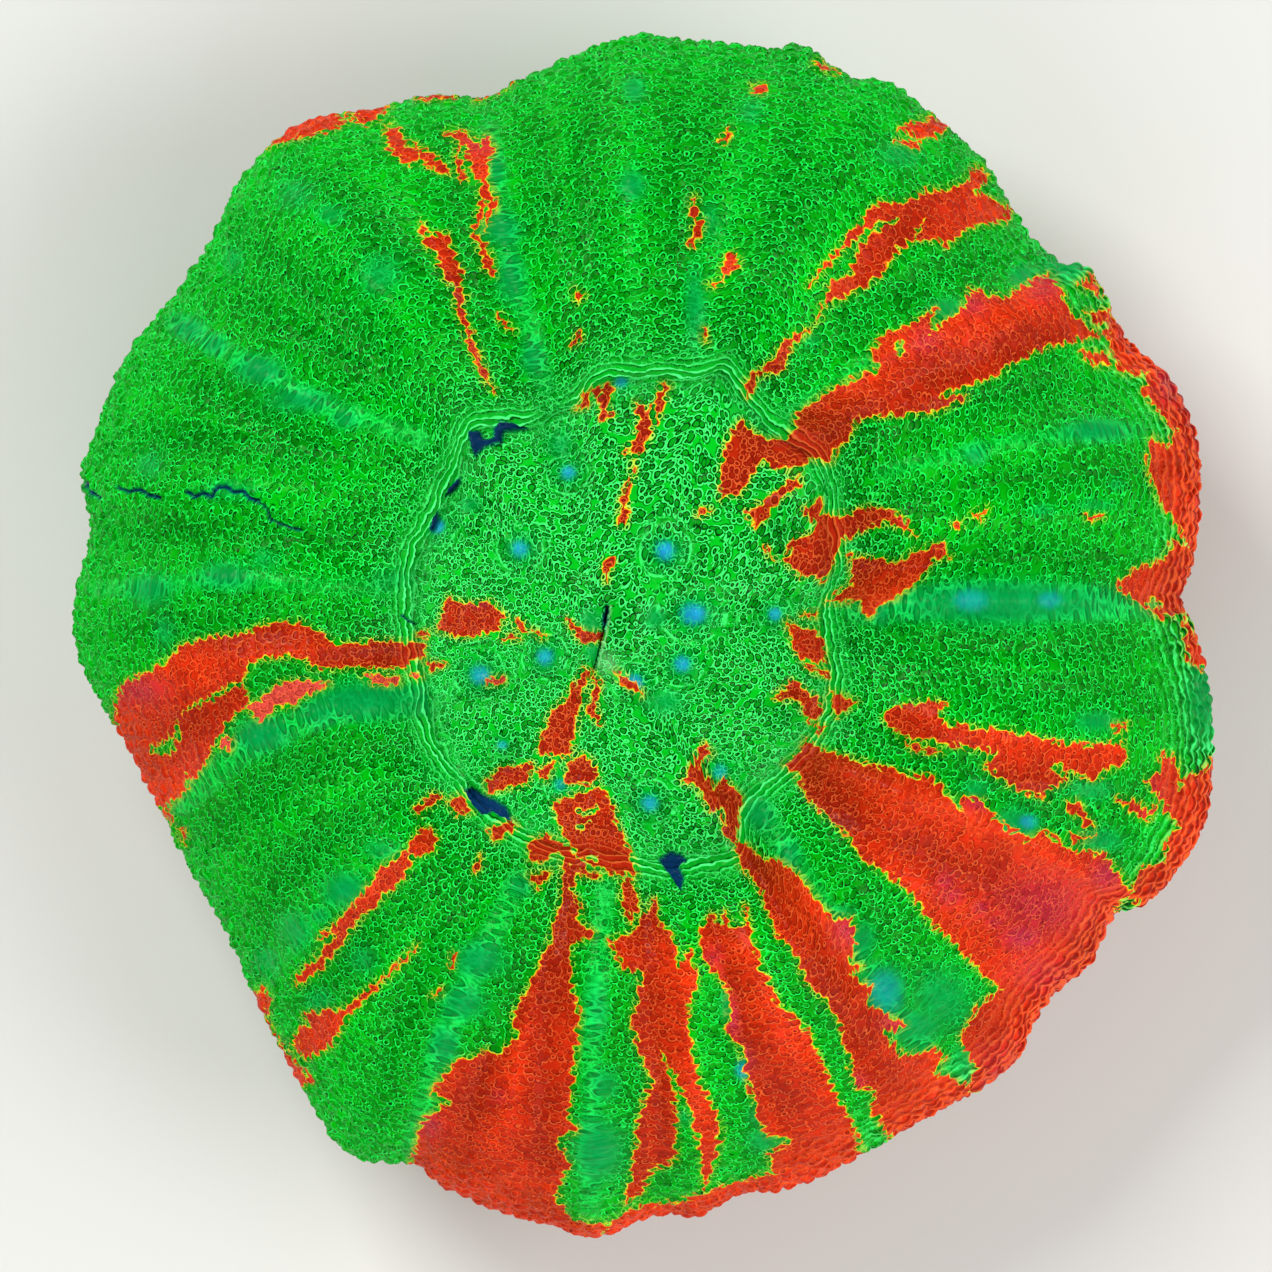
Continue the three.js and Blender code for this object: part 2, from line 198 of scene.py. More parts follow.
# Red patches of the skin, by where they lie. Those that reach the edge run on past it.
RED = [
    # West
    [(424, 645), (385, 641), (337, 645), (312, 630), (300, 622), (265, 624), (245, 634), (207, 639),
     (180, 647), (174, 657), (152, 671), (125, 682), (117, 702), (119, 722), (112, 745), (150, 790),
     (158, 806), (172, 804), (187, 788), (184, 776), (192, 779), (203, 767), (210, 753), (217, 735),
     (235, 713), (250, 700), (240, 684), (250, 662), (280, 655), (307, 657), (311, 667), (335, 669),
     (360, 667), (405, 667), (412, 659), (424, 657)],
    [(160, 799), (165, 812), (172, 822), (176, 820), (169, 808), (165, 798)],
    [(181, 826), (184, 836), (187, 841), (187, 830)],
    # North-west edge
    [(259, 154), (285, 144), (325, 134), (347, 125), (330, 114), (300, 118), (270, 136)],
    [(347, 119), (380, 104), (392, 108), (377, 122), (366, 126)],
    [(417, 101), (440, 93), (455, 100), (428, 103)],
    [(475, 104), (490, 95), (512, 81), (514, 86), (492, 99)],
    [(386, 127), (392, 127), (402, 137), (416, 152), (418, 161), (410, 163), (387, 150)],
    [(413, 145), (435, 156), (449, 174), (430, 167), (415, 151)],
    [(446, 134), (461, 131), (475, 139), (480, 147), (486, 137), (494, 149), (486, 167), (486, 179),
     (496, 199), (496, 206), (486, 230), (490, 205), (486, 200), (479, 227), (475, 229), (481, 200),
     (481, 179), (469, 165), (464, 145)],
    [(460, 142), (458, 155), (466, 180), (462, 182), (455, 160)],
    [(474, 232), (482, 240), (491, 257), (495, 275), (486, 271), (479, 250)],
    [(421, 232), (422, 222), (427, 235), (446, 235), (454, 255), (461, 270), (458, 289), (466, 295),
     (460, 308), (470, 330), (480, 357), (488, 382), (495, 391), (484, 380), (469, 345), (456, 308),
     (454, 285), (445, 279), (437, 262), (437, 252), (427, 247)],
    [(500, 315), (514, 331), (505, 327)],
    # North
    [(574, 290), (584, 295), (577, 302)],
    [(579, 332), (580, 338), (571, 345)],
    [(691, 200), (696, 197), (697, 219), (706, 222), (695, 246), (691, 246), (693, 225)],
    [(727, 257), (737, 253), (739, 265), (722, 278), (721, 272)],
    [(707, 285), (721, 281), (716, 287)],
    [(725, 135), (731, 130), (727, 141), (720, 142)],
    [(752, 86), (764, 86), (762, 93), (754, 92)],
    [(812, 66), (824, 65), (835, 75), (820, 71)],
    [(900, 130), (930, 119), (950, 127), (935, 137), (915, 139)],
    [(897, 141), (920, 142), (915, 149)],
    [(704, 329), (706, 342), (703, 338)],
    # North-east
    [(971, 170), (980, 172), (984, 182), (974, 193), (987, 200), (1008, 211), (1003, 224), (975, 225),
     (945, 246), (940, 240), (915, 239), (900, 246), (880, 275), (847, 296), (826, 305), (827, 287),
     (850, 276), (862, 242), (895, 219), (873, 223), (843, 250), (822, 272), (808, 286), (820, 270),
     (850, 235), (879, 202), (902, 205), (927, 190), (942, 191), (962, 184)],
    [(821, 306), (820, 318), (815, 322)],
    [(810, 329), (795, 341), (784, 357), (783, 370), (757, 376), (749, 396), (746, 381), (773, 360),
     (779, 348), (800, 330)],
    [(741, 421), (762, 440), (782, 440), (796, 427), (796, 417), (815, 402), (830, 390), (870, 372),
     (880, 370), (872, 352), (882, 337), (900, 332), (937, 310), (929, 331), (962, 310), (969, 290),
     (1005, 299), (1022, 287), (1050, 277), (1060, 292), (1070, 315), (1098, 337), (1062, 342),
     (1018, 357), (1000, 372), (972, 382), (940, 395), (966, 397), (937, 412), (860, 416), (850, 434),
     (837, 450), (832, 462), (810, 457), (790, 471), (760, 460), (750, 474), (741, 494), (727, 494),
     (721, 499), (722, 474), (727, 440)],
    [(800, 472), (800, 484), (777, 500), (757, 527), (751, 520), (747, 510), (780, 492)],
    # East, over the fold
    [(802, 510), (820, 500), (822, 516), (850, 514), (870, 506), (900, 515), (915, 535), (890, 522),
     (860, 530), (842, 540), (835, 560), (822, 582), (812, 572), (801, 577), (785, 560), (795, 538),
     (817, 532), (816, 522)],
    [(850, 556), (875, 560), (900, 563), (912, 553), (941, 542), (950, 556), (935, 559), (920, 577),
     (898, 597), (882, 602), (870, 615), (860, 602), (827, 602), (852, 585), (852, 572)],
    [(802, 615), (817, 612), (816, 617)],
    [(786, 620), (800, 630), (817, 630), (825, 650), (827, 664), (800, 657), (792, 641)],
    [(805, 665), (827, 671), (832, 677), (815, 672)],
    [(772, 699), (792, 681), (807, 692), (820, 700), (822, 712), (811, 722), (797, 700)],
    [(831, 690), (857, 702), (837, 716), (834, 706)],
    [(817, 725), (825, 727), (821, 735)],
    # East, on the mantle
    [(885, 717), (905, 706), (932, 701), (946, 705), (936, 711), (942, 722), (972, 728), (1017, 732),
     (1065, 745), (1102, 745), (1122, 741), (1124, 760), (1092, 779), (1067, 770), (1067, 780),
     (1045, 790), (1047, 798), (1010, 785), (985, 765), (997, 751), (927, 741), (900, 735)],
    [(905, 741), (942, 752), (915, 752)],
    [(1114, 725), (1127, 724), (1120, 735)],
    [(1067, 804), (1077, 801), (1093, 826), (1082, 822)],
    [(1070, 836), (1093, 836), (1075, 843)],
    [(1117, 799), (1138, 802), (1147, 812), (1155, 806), (1147, 820), (1130, 809)],
    # South-east bands, from the widest one round to the south
    [(785, 765), (800, 755), (806, 739), (820, 750), (862, 762), (912, 777), (932, 777), (952, 805),
     (964, 812), (960, 798), (982, 800), (996, 821), (1025, 840), (1047, 832), (1067, 850),
     (1102, 854), (1117, 871), (1130, 889), (1150, 930), (1100, 1000), (1060, 1070), (985, 1110),
     (967, 1083), (976, 1068), (960, 1037), (977, 1007), (999, 990), (970, 960), (957, 944),
     (930, 922), (907, 887), (867, 860), (840, 827), (810, 800), (797, 775)],
    [(737, 842), (747, 845), (765, 861), (782, 862), (800, 877), (820, 906), (832, 918), (850, 918),
     (855, 945), (850, 960), (860, 966), (850, 975), (872, 986), (868, 1004), (906, 1025), (884, 1032),
     (902, 1056), (935, 1049), (944, 1057), (932, 1070), (950, 1076), (967, 1083), (985, 1110),
     (900, 1150), (883, 1128), (872, 1110), (875, 1090), (855, 1085), (850, 1055), (837, 1015),
     (820, 995), (803, 980), (797, 952), (777, 935), (759, 887), (740, 865)],
    [(702, 930), (712, 914), (720, 925), (725, 912), (733, 927), (745, 926), (744, 906), (759, 965),
     (780, 1006), (807, 1031), (827, 1078), (853, 1130), (870, 1170), (780, 1215), (745, 1177),
     (775, 1170), (768, 1155), (792, 1139), (767, 1135), (749, 1085), (740, 1046), (727, 1030),
     (729, 990), (703, 957)],
    [(605, 1222), (642, 1202), (682, 1199), (715, 1186), (745, 1177), (780, 1175), (780, 1215),
     (700, 1240), (600, 1262)],
    [(610, 940), (630, 934), (655, 899), (657, 920), (672, 937), (680, 966), (690, 950), (697, 982),
     (688, 1006), (689, 1035), (698, 1080), (721, 1127), (715, 1160), (704, 1186), (702, 1155),
     (695, 1120), (682, 1087), (661, 1050), (675, 1100), (677, 1160), (652, 1168), (642, 1190),
     (622, 1203), (632, 1180), (640, 1112), (652, 1078), (637, 1045), (632, 1017), (641, 985),
     (640, 972), (622, 967)],
    [(622, 880), (631, 881), (638, 905), (632, 925), (621, 903)],
    [(562, 857), (600, 877), (575, 876), (572, 890), (582, 908), (578, 920), (594, 934), (570, 947),
     (572, 990), (580, 1015), (577, 1045), (571, 1082), (567, 1118), (578, 1130), (556, 1138),
     (569, 1163), (557, 1190), (570, 1218), (605, 1222), (600, 1262), (480, 1240), (395, 1185),
     (415, 1150), (422, 1120), (452, 1101), (432, 1093), (452, 1065), (488, 1050), (497, 1056),
     (517, 1035), (513, 1015), (537, 975), (550, 940), (562, 898)],
    [(531, 862), (529, 842), (545, 836), (562, 843), (590, 871), (570, 866), (555, 852), (540, 862)],
    [(530, 875), (550, 872), (538, 889)],
    # South, on the disc and over the fold
    [(600, 788), (606, 796), (616, 812), (615, 820), (626, 845), (636, 875), (612, 874), (580, 860),
     (562, 832), (554, 803), (575, 795)],
    [(584, 669), (590, 671), (581, 695), (575, 732), (570, 757), (539, 752), (542, 735), (552, 712),
     (567, 697)],
    [(591, 671), (600, 683), (596, 707), (600, 723), (588, 712), (594, 684)],
    [(486, 781), (500, 769), (532, 764), (527, 784), (500, 790), (489, 792)],
    [(536, 771), (557, 760), (546, 780)],
    [(570, 762), (582, 755), (591, 760), (598, 776), (592, 785), (566, 782)],
    [(447, 802), (460, 795), (472, 812), (457, 815)],
    [(415, 810), (432, 794), (441, 797), (419, 815)],
    [(489, 830), (512, 822), (517, 827), (495, 841)],
    [(475, 872), (480, 856), (479, 868)],
    [(704, 744), (712, 754), (700, 766), (715, 787), (725, 779), (742, 800), (736, 845), (725, 830),
     (722, 807), (710, 810), (697, 785), (682, 781), (692, 764)],
    # South-west
    [(420, 830), (430, 830), (436, 838), (432, 850), (410, 857), (405, 875), (372, 907), (350, 930),
     (322, 967), (298, 985), (297, 977), (328, 944), (338, 933), (320, 938), (350, 910), (382, 867),
     (407, 852)],
    [(256, 992), (265, 987), (272, 998), (270, 1015), (284, 1045), (316, 1080), (290, 1090),
     (240, 1010)],
    [(297, 1035), (310, 1024), (305, 1015), (347, 1008), (388, 974), (417, 944), (404, 960),
     (350, 1012), (332, 1045), (310, 1057), (296, 1048)],
    [(432, 996), (442, 989), (439, 995)],
    [(453, 953), (456, 955), (451, 968)],
    # Disc, north and west
    [(635, 402), (645, 410), (652, 407), (650, 437), (640, 452), (624, 453), (635, 437), (641, 420)],
    [(662, 384), (670, 385), (657, 421), (655, 415)],
    [(634, 460), (634, 475), (632, 470)],
    [(630, 480), (627, 500), (626, 524), (619, 524), (621, 500)],
    [(607, 560), (613, 562), (606, 581), (604, 572)],
    [(575, 409), (584, 392), (605, 384), (612, 387), (607, 407), (612, 414), (602, 419), (600, 395),
     (591, 392), (585, 407)],
    [(567, 620), (580, 630), (601, 634), (600, 642), (580, 640)],
    [(449, 597), (450, 601), (475, 604), (490, 601), (506, 617), (497, 630), (462, 637), (437, 630)],
    [(415, 636), (427, 631), (426, 638)],
    [(515, 621), (522, 622), (527, 631), (517, 630)],
    [(502, 639), (512, 635), (520, 639)],
    [(532, 630), (545, 636), (542, 639)],
    [(425, 662), (445, 664), (431, 670)],
    [(617, 671), (640, 688), (641, 695), (620, 680)],
    [(699, 510), (711, 510), (697, 517)],
    [(764, 544), (774, 559), (769, 556)],
    # East edge
    [(1075, 287), (1090, 278), (1100, 297), (1085, 292)],
    [(1084, 312), (1107, 310), (1118, 325), (1150, 335), (1230, 440), (1230, 560), (1200, 612),
     (1160, 619), (1137, 602), (1116, 586), (1132, 572), (1162, 560), (1170, 540), (1184, 545),
     (1170, 517), (1160, 505), (1147, 470), (1151, 437), (1165, 448), (1172, 432), (1142, 395),
     (1145, 377), (1120, 374), (1105, 340)],
    [(1081, 352), (1107, 355), (1110, 366), (1092, 366)],
    [(1179, 620), (1192, 640), (1205, 664), (1197, 670), (1184, 659)],
    [(1235, 750), (1205, 760), (1200, 770), (1180, 779), (1172, 755), (1159, 755), (1161, 772),
     (1147, 779), (1157, 797), (1176, 825), (1164, 840), (1162, 860), (1140, 868), (1130, 888),
     (1150, 930), (1200, 880)],
    [(954, 524), (962, 522), (960, 527)],
    [(972, 514), (988, 508), (980, 521)],
    [(1086, 516), (1102, 517), (1090, 520)],
]
# Patches that are coral pink, where the skin is stretched over a ridge
PINK = [
    [(245, 705), (260, 721), (267, 715), (277, 705), (292, 707), (302, 697), (329, 684), (300, 681),
     (282, 682), (272, 692), (256, 705)],
    [(362, 675), (397, 677), (400, 684), (372, 685)],
    [(410, 675), (421, 677), (414, 680)],
    [(221, 737), (232, 739), (230, 750), (220, 746)],
    [(485, 679), (502, 678), (503, 682), (487, 683)],
]
# Green islands inside the red patches
GREEN = [
    [(182, 712), (207, 697), (245, 677), (246, 682), (222, 695), (192, 709)],
    [(176, 722), (182, 735), (172, 752), (160, 754), (152, 747), (170, 737)],
    [(925, 220), (921, 228), (917, 238), (914, 238), (918, 227)],
    [(895, 345), (902, 341), (904, 352), (899, 359)],
    [(1052, 765), (1058, 763), (1067, 772), (1062, 775)],
    [(578, 812), (597, 805), (600, 811), (583, 819)],
    [(576, 826), (590, 822), (579, 833)],
    [(583, 858), (598, 857), (597, 864)],
    [(1092, 322), (1103, 322), (1106, 332), (1097, 336)],
    [(1142, 602), (1151, 599), (1160, 606), (1151, 611)],
    [(1176, 780), (1181, 782), (1178, 790)],
    [(852, 1145), (870, 1128), (888, 1135), (870, 1150)],
    [(1111, 906), (1125, 893), (1136, 897), (1130, 920)],
]
# Torn and deep places, painted navy as the shade inside them: outlines, and lines with a width
NAVY = [
    [(467, 430), (481, 432), (484, 440), (493, 439), (494, 427), (500, 420), (515, 422), (530, 429),
     (512, 431), (504, 433), (502, 443), (486, 447), (475, 457), (471, 445)],
    [(443, 497), (449, 486), (460, 477), (461, 484), (452, 493)],
    [(429, 530), (432, 516), (437, 508), (439, 519), (434, 531)],
    [(464, 789), (472, 788), (484, 795), (497, 800), (507, 807), (512, 821), (500, 818), (492, 812),
     (482, 815), (471, 803)],
    [(658, 860), (670, 851), (681, 854), (688, 861), (679, 866), (684, 877), (681, 891), (671, 876)],
    [(604, 606), (610, 607), (608, 620), (603, 632), (601, 622)],
]
NAVY_LINES = [
    (3.6, [(187, 492), (194, 497), (202, 493), (211, 497), (217, 487), (226, 486), (233, 492),
         (243, 491), (249, 499), (258, 501)]),
    (2, [(257, 501), (266, 508), (270, 520), (284, 526), (302, 531)]),
    (3, [(119, 488), (128, 492), (138, 489), (147, 495), (160, 498)]),
    (3.6, [(82, 478), (90, 484), (94, 492), (101, 498)]),
    (2, [(401, 615), (408, 621), (415, 624)]),
    (1.6, MOUTH_LINE),
    (5.0, MOUTH_OPENING),
]

# Soft spots of colour: right, down, half-width, half-height and strength
BLUE = [
    (665, 551, 9, 9, 1.0), (693, 614, 12, 10, 1.0), (520, 549, 8, 8, 0.8), (568, 473, 7, 7, 0.8),
    (775, 614, 6, 6, 0.8), (545, 657, 8, 8, 0.7), (480, 675, 9, 9, 0.7), (682, 664, 8, 8, 0.8),
    (635, 682, 8, 7, 0.8), (621, 382, 6, 6, 0.6), (650, 803, 8, 8, 0.7), (720, 772, 7, 7, 0.5),
    (502, 745, 5, 4, 0.6), (560, 785, 6, 6, 0.4), (970, 600, 16, 10, 0.35), (1050, 600, 12, 8, 0.35),
    (742, 1070, 7, 9, 0.5), (885, 990, 16, 20, 0.3), (1028, 822, 9, 7, 0.6), (437, 526, 7, 7, 1.0),
]
TEAL = [
    (1005, 603, 105, 20, 0.9), (970, 603, 30, 16, 0.5), (882, 612, 8, 14, 0.7), (1095, 430, 32, 11, 0.8),
    (975, 455, 11, 10, 0.6), (1095, 505, 18, 7, 0.4), (1042, 511, 12, 7, 0.4), (1115, 485, 7, 7, 0.4),
    (1022, 277, 13, 10, 0.7), (947, 310, 18, 11, 0.7), (1062, 270, 24, 12, 0.7), (900, 155, 22, 14, 0.5),
    (632, 186, 13, 13, 0.7), (634, 90, 11, 11, 0.6), (750, 112, 13, 13, 0.4), (711, 220, 9, 18, 0.5),
    (695, 305, 10, 35, 0.6), (497, 170, 7, 14, 0.6), (500, 230, 20, 14, 0.7), (510, 280, 12, 22, 0.6),
    (532, 357, 11, 16, 0.6), (295, 195, 20, 17, 0.4), (330, 215, 14, 10, 0.5), (380, 275, 20, 20, 0.5),
    (235, 262, 10, 14, 0.4), (190, 330, 16, 12, 0.6), (215, 345, 12, 10, 0.6), (260, 370, 24, 14, 0.7),
    (300, 400, 32, 12, 0.6), (345, 420, 14, 10, 0.5), (150, 590, 22, 17, 0.6), (225, 575, 27, 14, 0.6),
    (265, 560, 14, 12, 0.4), (165, 630, 10, 17, 0.4), (150, 465, 14, 14, 0.4), (230, 490, 27, 10, 0.4),
    (390, 580, 20, 12, 0.3), (365, 700, 50, 17, 0.9), (262, 735, 24, 16, 0.9), (320, 712, 20, 14, 0.6),
    (345, 890, 20, 16, 0.9), (295, 930, 17, 20, 0.6), (268, 960, 12, 14, 0.5), (380, 850, 17, 10, 0.5),
    (320, 915, 12, 8, 0.5), (365, 960, 14, 14, 0.4), (320, 1000, 14, 12, 0.4), (480, 960, 24, 16, 0.8),
    (465, 1003, 22, 16, 0.7), (445, 1045, 14, 18, 0.7), (600, 1150, 22, 30, 0.9), (605, 1085, 14, 17, 0.6),
    (598, 1010, 12, 30, 0.4), (520, 888, 10, 8, 0.5), (685, 1117, 14, 8, 0.4), (742, 1070, 8, 10, 0.6),
    (765, 1140, 17, 12, 0.6), (757, 1115, 10, 12, 0.5), (727, 1005, 8, 17, 0.6), (885, 990, 20, 24, 0.9),
    (920, 1025, 24, 18, 0.8), (862, 940, 12, 16, 0.8), (845, 912, 12, 7, 0.5), (940, 1000, 32, 32, 0.6),
    (965, 1055, 14, 14, 0.5), (1015, 825, 22, 16, 0.8), (975, 790, 14, 10, 0.5), (1090, 790, 22, 12, 0.5),
    (1100, 840, 22, 12, 0.6), (1095, 722, 20, 10, 0.7), (760, 815, 12, 14, 0.7), (790, 855, 10, 14, 0.6),
    (1200, 690, 16, 60, 0.8), (560, 445, 12, 14, 0.5), (470, 505, 10, 8, 0.5), (655, 618, 13, 11, 0.6),
    (590, 622, 11, 13, 0.6), (665, 702, 20, 12, 0.6), (700, 614, 18, 12, 0.5), (675, 551, 14, 12, 0.4),
    (593, 652, 8, 10, 0.7),
    (810, 340, 12, 12, 0.3), (520, 549, 16, 16, 0.4), (568, 473, 14, 14, 0.3), (684, 668, 16, 14, 0.3),
    (545, 657, 14, 16, 0.4), (484, 675, 16, 14, 0.4), (650, 805, 14, 12, 0.3), (775, 614, 12, 12, 0.3),
]
MAGENTA = [
    (1045, 288, 16, 14, 0.6), (972, 306, 14, 10, 0.6), (925, 340, 14, 14, 0.5), (1165, 385, 12, 20, 0.8),
    (945, 882, 9, 9, 0.7), (951, 895, 12, 8, 0.6), (982, 907, 9, 7, 0.6), (995, 922, 9, 7, 0.6),
    (1023, 937, 20, 14, 0.9), (1045, 905, 45, 32, 0.6), (1105, 875, 17, 14, 0.8), (845, 930, 12, 16, 0.7),
    (893, 1022, 14, 9, 0.7), (857, 1082, 9, 9, 0.6), (732, 1020, 7, 22, 0.7), (746, 1062, 7, 14, 0.6),
    (713, 957, 10, 10, 0.4), (140, 690, 24, 14, 0.6), (430, 1125, 12, 12, 0.6), (477, 602, 12, 6, 0.6),
    (980, 803, 14, 8, 0.8), (1040, 970, 30, 20, 0.5), (500, 1095, 8, 8, 0.3), (1190, 400, 10, 30, 0.5),
    (1000, 1060, 30, 20, 0.3), (1150, 800, 14, 30, 0.4), (480, 140, 14, 14, 0.5), (312, 690, 20, 14, 0.5),
]

# Colours of the skin and the skeleton, as red, green and blue out of 255
GREEN_BODY = (0, 190, 12)
# GREEN_PIT and RED_PIT are partly painted shade: in the valleys, under the fold and next to the raised rims
GREEN_PIT = (0, 38, 4)
# The rim colours are the skin's pale outlines, partly painted highlights on the raised blisters and stripes
GREEN_RIM = (30, 255, 90)
PALE_BODY = (0, 194, 36)
PALE_RIM = (86, 255, 138)
LIP_PALE = (140, 232, 150)
TEAL_BODY = (0, 148, 68)
TEAL_DARK = (0, 120, 60)
TEAL_RIM = (24, 235, 140)
BLUE_BODY = (28, 150, 205)
# NAVY_BODY is painted shade, in the torn places and the mouth's opening
NAVY_BODY = (6, 52, 96)
RED_BODY = (236, 52, 12)
RED_PIT = (100, 12, 4)
RED_RIM = (255, 128, 60)
MAGENTA_BODY = (186, 40, 74)
PINK_BODY = (232, 78, 66)
BORDER_YELLOW = (236, 214, 30)
BORDER_ORANGE = (240, 106, 20)
SKELETON_PALE = (226, 218, 196)
SKELETON_TAN = (170, 150, 118)
SKELETON_GREEN = (96, 118, 74)
FLOOR_PALE = (214, 214, 210)

# Gloss of the flesh and the skeleton
FLESH_ROUGHNESS = 0.3
FLESH_GLOSS = 0.05
STONE_ROUGHNESS = 0.85
STONE_GLOSS = 0.2


def linear(colour):
    """A colour out of 255 as the shader takes it."""
    shares = [part / 255 for part in colour]
    return tuple(s / 12.92 if s <= 0.04045 else ((s + 0.055) / 1.055) ** 2.4 for s in shares) + (1.0,)


def plan_to_mm(places):
    places = np.asarray(places, float)
    right = (places[..., 0] - PLAN_CENTRE[0]) * SCALE
    return np.stack([right, (PLAN_CENTRE[1] - places[..., 1]) * SCALE], -1)


def smooth(low, high, value):
    share = np.clip((value - low) / (high - low), 0, 1)
    return share * share * (3 - 2 * share)


def bell(distance, spread):
    return np.exp(-((distance / spread) ** 2))


def ribbing(count, angle):
    """Ribs round the coral: one on each rib's crest and nothing in the grooves."""
    return 0.5 + 0.5 * np.cos(count * angle)


MOUTH_PLACE = plan_to_mm(MOUTH)


def radius_by_angle(places):
    """The radius about the mouth of a closed line of plan places, as a smooth function of the angle."""
    arms = plan_to_mm(places) - MOUTH_PLACE
    angles = np.arctan2(arms[:, 1], arms[:, 0]) % TURN
    order = np.argsort(angles)
    angles = angles[order]
    radii = np.hypot(arms[:, 0], arms[:, 1])[order]
    angles = np.concatenate([angles[-2:] - TURN, angles, angles[:2] + TURN])
    radii = np.concatenate([radii[-2:], radii, radii[:2]])
    slopes = np.zeros(len(angles))
    slopes[1:-1] = (radii[2:] - radii[:-2]) / (angles[2:] - angles[:-2])

    def radius(angle):
        turned = angle % TURN
        after = np.searchsorted(angles, turned, side="right")
        before = after - 1
        span = angles[after] - angles[before]
        t = (turned - angles[before]) / span
        stay = (1 + 2 * t) * (1 - t) ** 2
        bend = slopes[before] * span * t * (1 - t) ** 2 - slopes[after] * span * t**2 * (1 - t)
        return radii[before] * stay + radii[after] * (1 - stay) + bend

    return radius


def nearest_on_line(line, points):
    """How far the points are from a line through these places, and the nearest place on it."""
    best = np.full(len(points), np.inf)
    place = np.zeros((len(points), 2))
    for start, end in zip(line[:-1], line[1:]):
        along = end - start
        share = np.clip((points - start) @ along / (along @ along), 0, 1)
        foot = start + share[:, None] * along
        distance = np.hypot(*(points - foot).T)
        closer = distance < best
        best[closer] = distance[closer]
        place[closer] = foot[closer]
    return best, place


def distance_to(line, points):
    return nearest_on_line(line, points)[0]


FOLD_RADIUS = radius_by_angle(FOLD)
OUTLINE_RADIUS = radius_by_angle(OUTLINE)
TABLE = np.arange(TABLE_ANGLES) * TURN / TABLE_ANGLES
MEAN_OUTLINE = OUTLINE_RADIUS(TABLE).mean()

# A meridian's stations from the mouth to the cut, as in the solid: which radii it is worked out
# from, its height, and how strongly the solid's reliefs show there
DISC_STATIONS = [(0, 0), (0.28, 0.1), (0.56, 0.7), (0.82, 1.6)]
MANTLE_STATIONS = [
    (0.15, (LIP_HEIGHT + CROWN_HEIGHT) / 2, 0.9), (0.3, CROWN_HEIGHT, 1), (0.45, CROWN_HEIGHT - 0.8, 1),
    (0.62, CROWN_HEIGHT - 2.5, 1), (0.77, CROWN_HEIGHT - 5, 0.9), (0.88, CROWN_HEIGHT - 7.8, 0.6),
    (0.96, CROWN_HEIGHT - 10.8, 0.25), (1, MARGIN_HEIGHT, 0),
]
FOLD_STATION = len(DISC_STATIONS) + 1
LIP_STATION = FOLD_STATION + 3
MARGIN_STATION = LIP_STATION + len(MANTLE_STATIONS)
SKIRT_STATION = MARGIN_STATION + 3
FOOT_STATION = SKIRT_STATION + 3
CUT_STATION = FOOT_STATION + 1


def stations(angle):
    """Each station's radius at these angles, and its height, disc relief, mantle relief and ribs."""
    fold = FOLD_RADIUS(angle)
    outline = OUTLINE_RADIUS(angle)
    round_foot = (outline + MEAN_OUTLINE) / 2
    skirt = round_foot * SKIRT_SHARE
    foot = round_foot * FOOT_SHARE
    rows = [(fold * share, DISC_HEIGHT + rise, 1, 0, 0) for share, rise in DISC_STATIONS]
    rows += [
        (fold - 0.6, DISC_HEIGHT + 2.3, 0.4, 0, 0),
        (fold + UNDERCUT, DISC_HEIGHT + 2.6, 0, 0, 0),
        (fold + 0.1, DISC_HEIGHT + 3.1, 0, 0.1, 0),
        (fold + 0.5, LIP_HEIGHT - 0.6, 0, 0.3, 0),
        (fold + 1.4, LIP_HEIGHT, 0, 0.6, 0),
    ]
    mantle = outline - fold
    rows += [(fold + mantle * share, high, 0, relief, 0) for share, high, relief in MANTLE_STATIONS]
    rows += [
        (outline - 0.9, MARGIN_HEIGHT - 2.8, 0, 0, 0),
        ((outline + skirt) / 2, SKIRT_HEIGHT + 0.6, 0, 0, 0),
        (skirt, SKIRT_HEIGHT, 0, 0, 0),
        ((skirt + foot * 2) / 3, SKIRT_HEIGHT * 0.7, 0, 0, 0.8),
        (foot + 0.3, SKIRT_HEIGHT * 0.3, 0, 0, 1),
        (foot, 0, 0, 0, 1),
    ]
    return rows


def ring_rows(step, angle):
    """Radius, height and the three weights of the ring at this step along the stations."""
    rows = stations(angle)
    last = len(rows) - 1
    before = min(int(step), last - 1)
    t = step - before

    def curve(field):
        first, here, there, final = (
            rows[max(0, min(last, before + offset))][field] for offset in (-1, 0, 1, 2)
        )
        leave = (there - first) / 2
        reach = (final - here) / 2
        cubic = (2 * here - 2 * there + leave + reach) * t**3
        return cubic + (3 * there - 3 * here - 2 * leave - reach) * t**2 + leave * t + here

    def blend(field):
        return rows[before][field] * (1 - t) + rows[before + 1][field] * t

    return curve(0), curve(1), blend(2), blend(3), blend(4)


def ring_steps():
    """The rings of the fine mesh, as steps along the stations, and the points wanted on each."""
    last = len(stations(TABLE)) - 1
    steps = []
    columns = []
    for span in range(last):
        fine = SKIN_STEP if span < MARGIN_STATION else EDGE_STEP
        start = ring_rows(span, TABLE)
        end = ring_rows(span + 1, TABLE)
        length = np.hypot(end[0] - start[0], end[1] - start[1]).mean()
        count = max(1, math.ceil(length / fine))
        for ring in range(1, count + 1):
            step = span + ring / count
            radius = ring_rows(step, TABLE)[0].mean()
            steps.append(step)
            columns.append(COLUMN_STEP * max(1, round(radius * TURN / fine / COLUMN_STEP)))
    return steps, columns


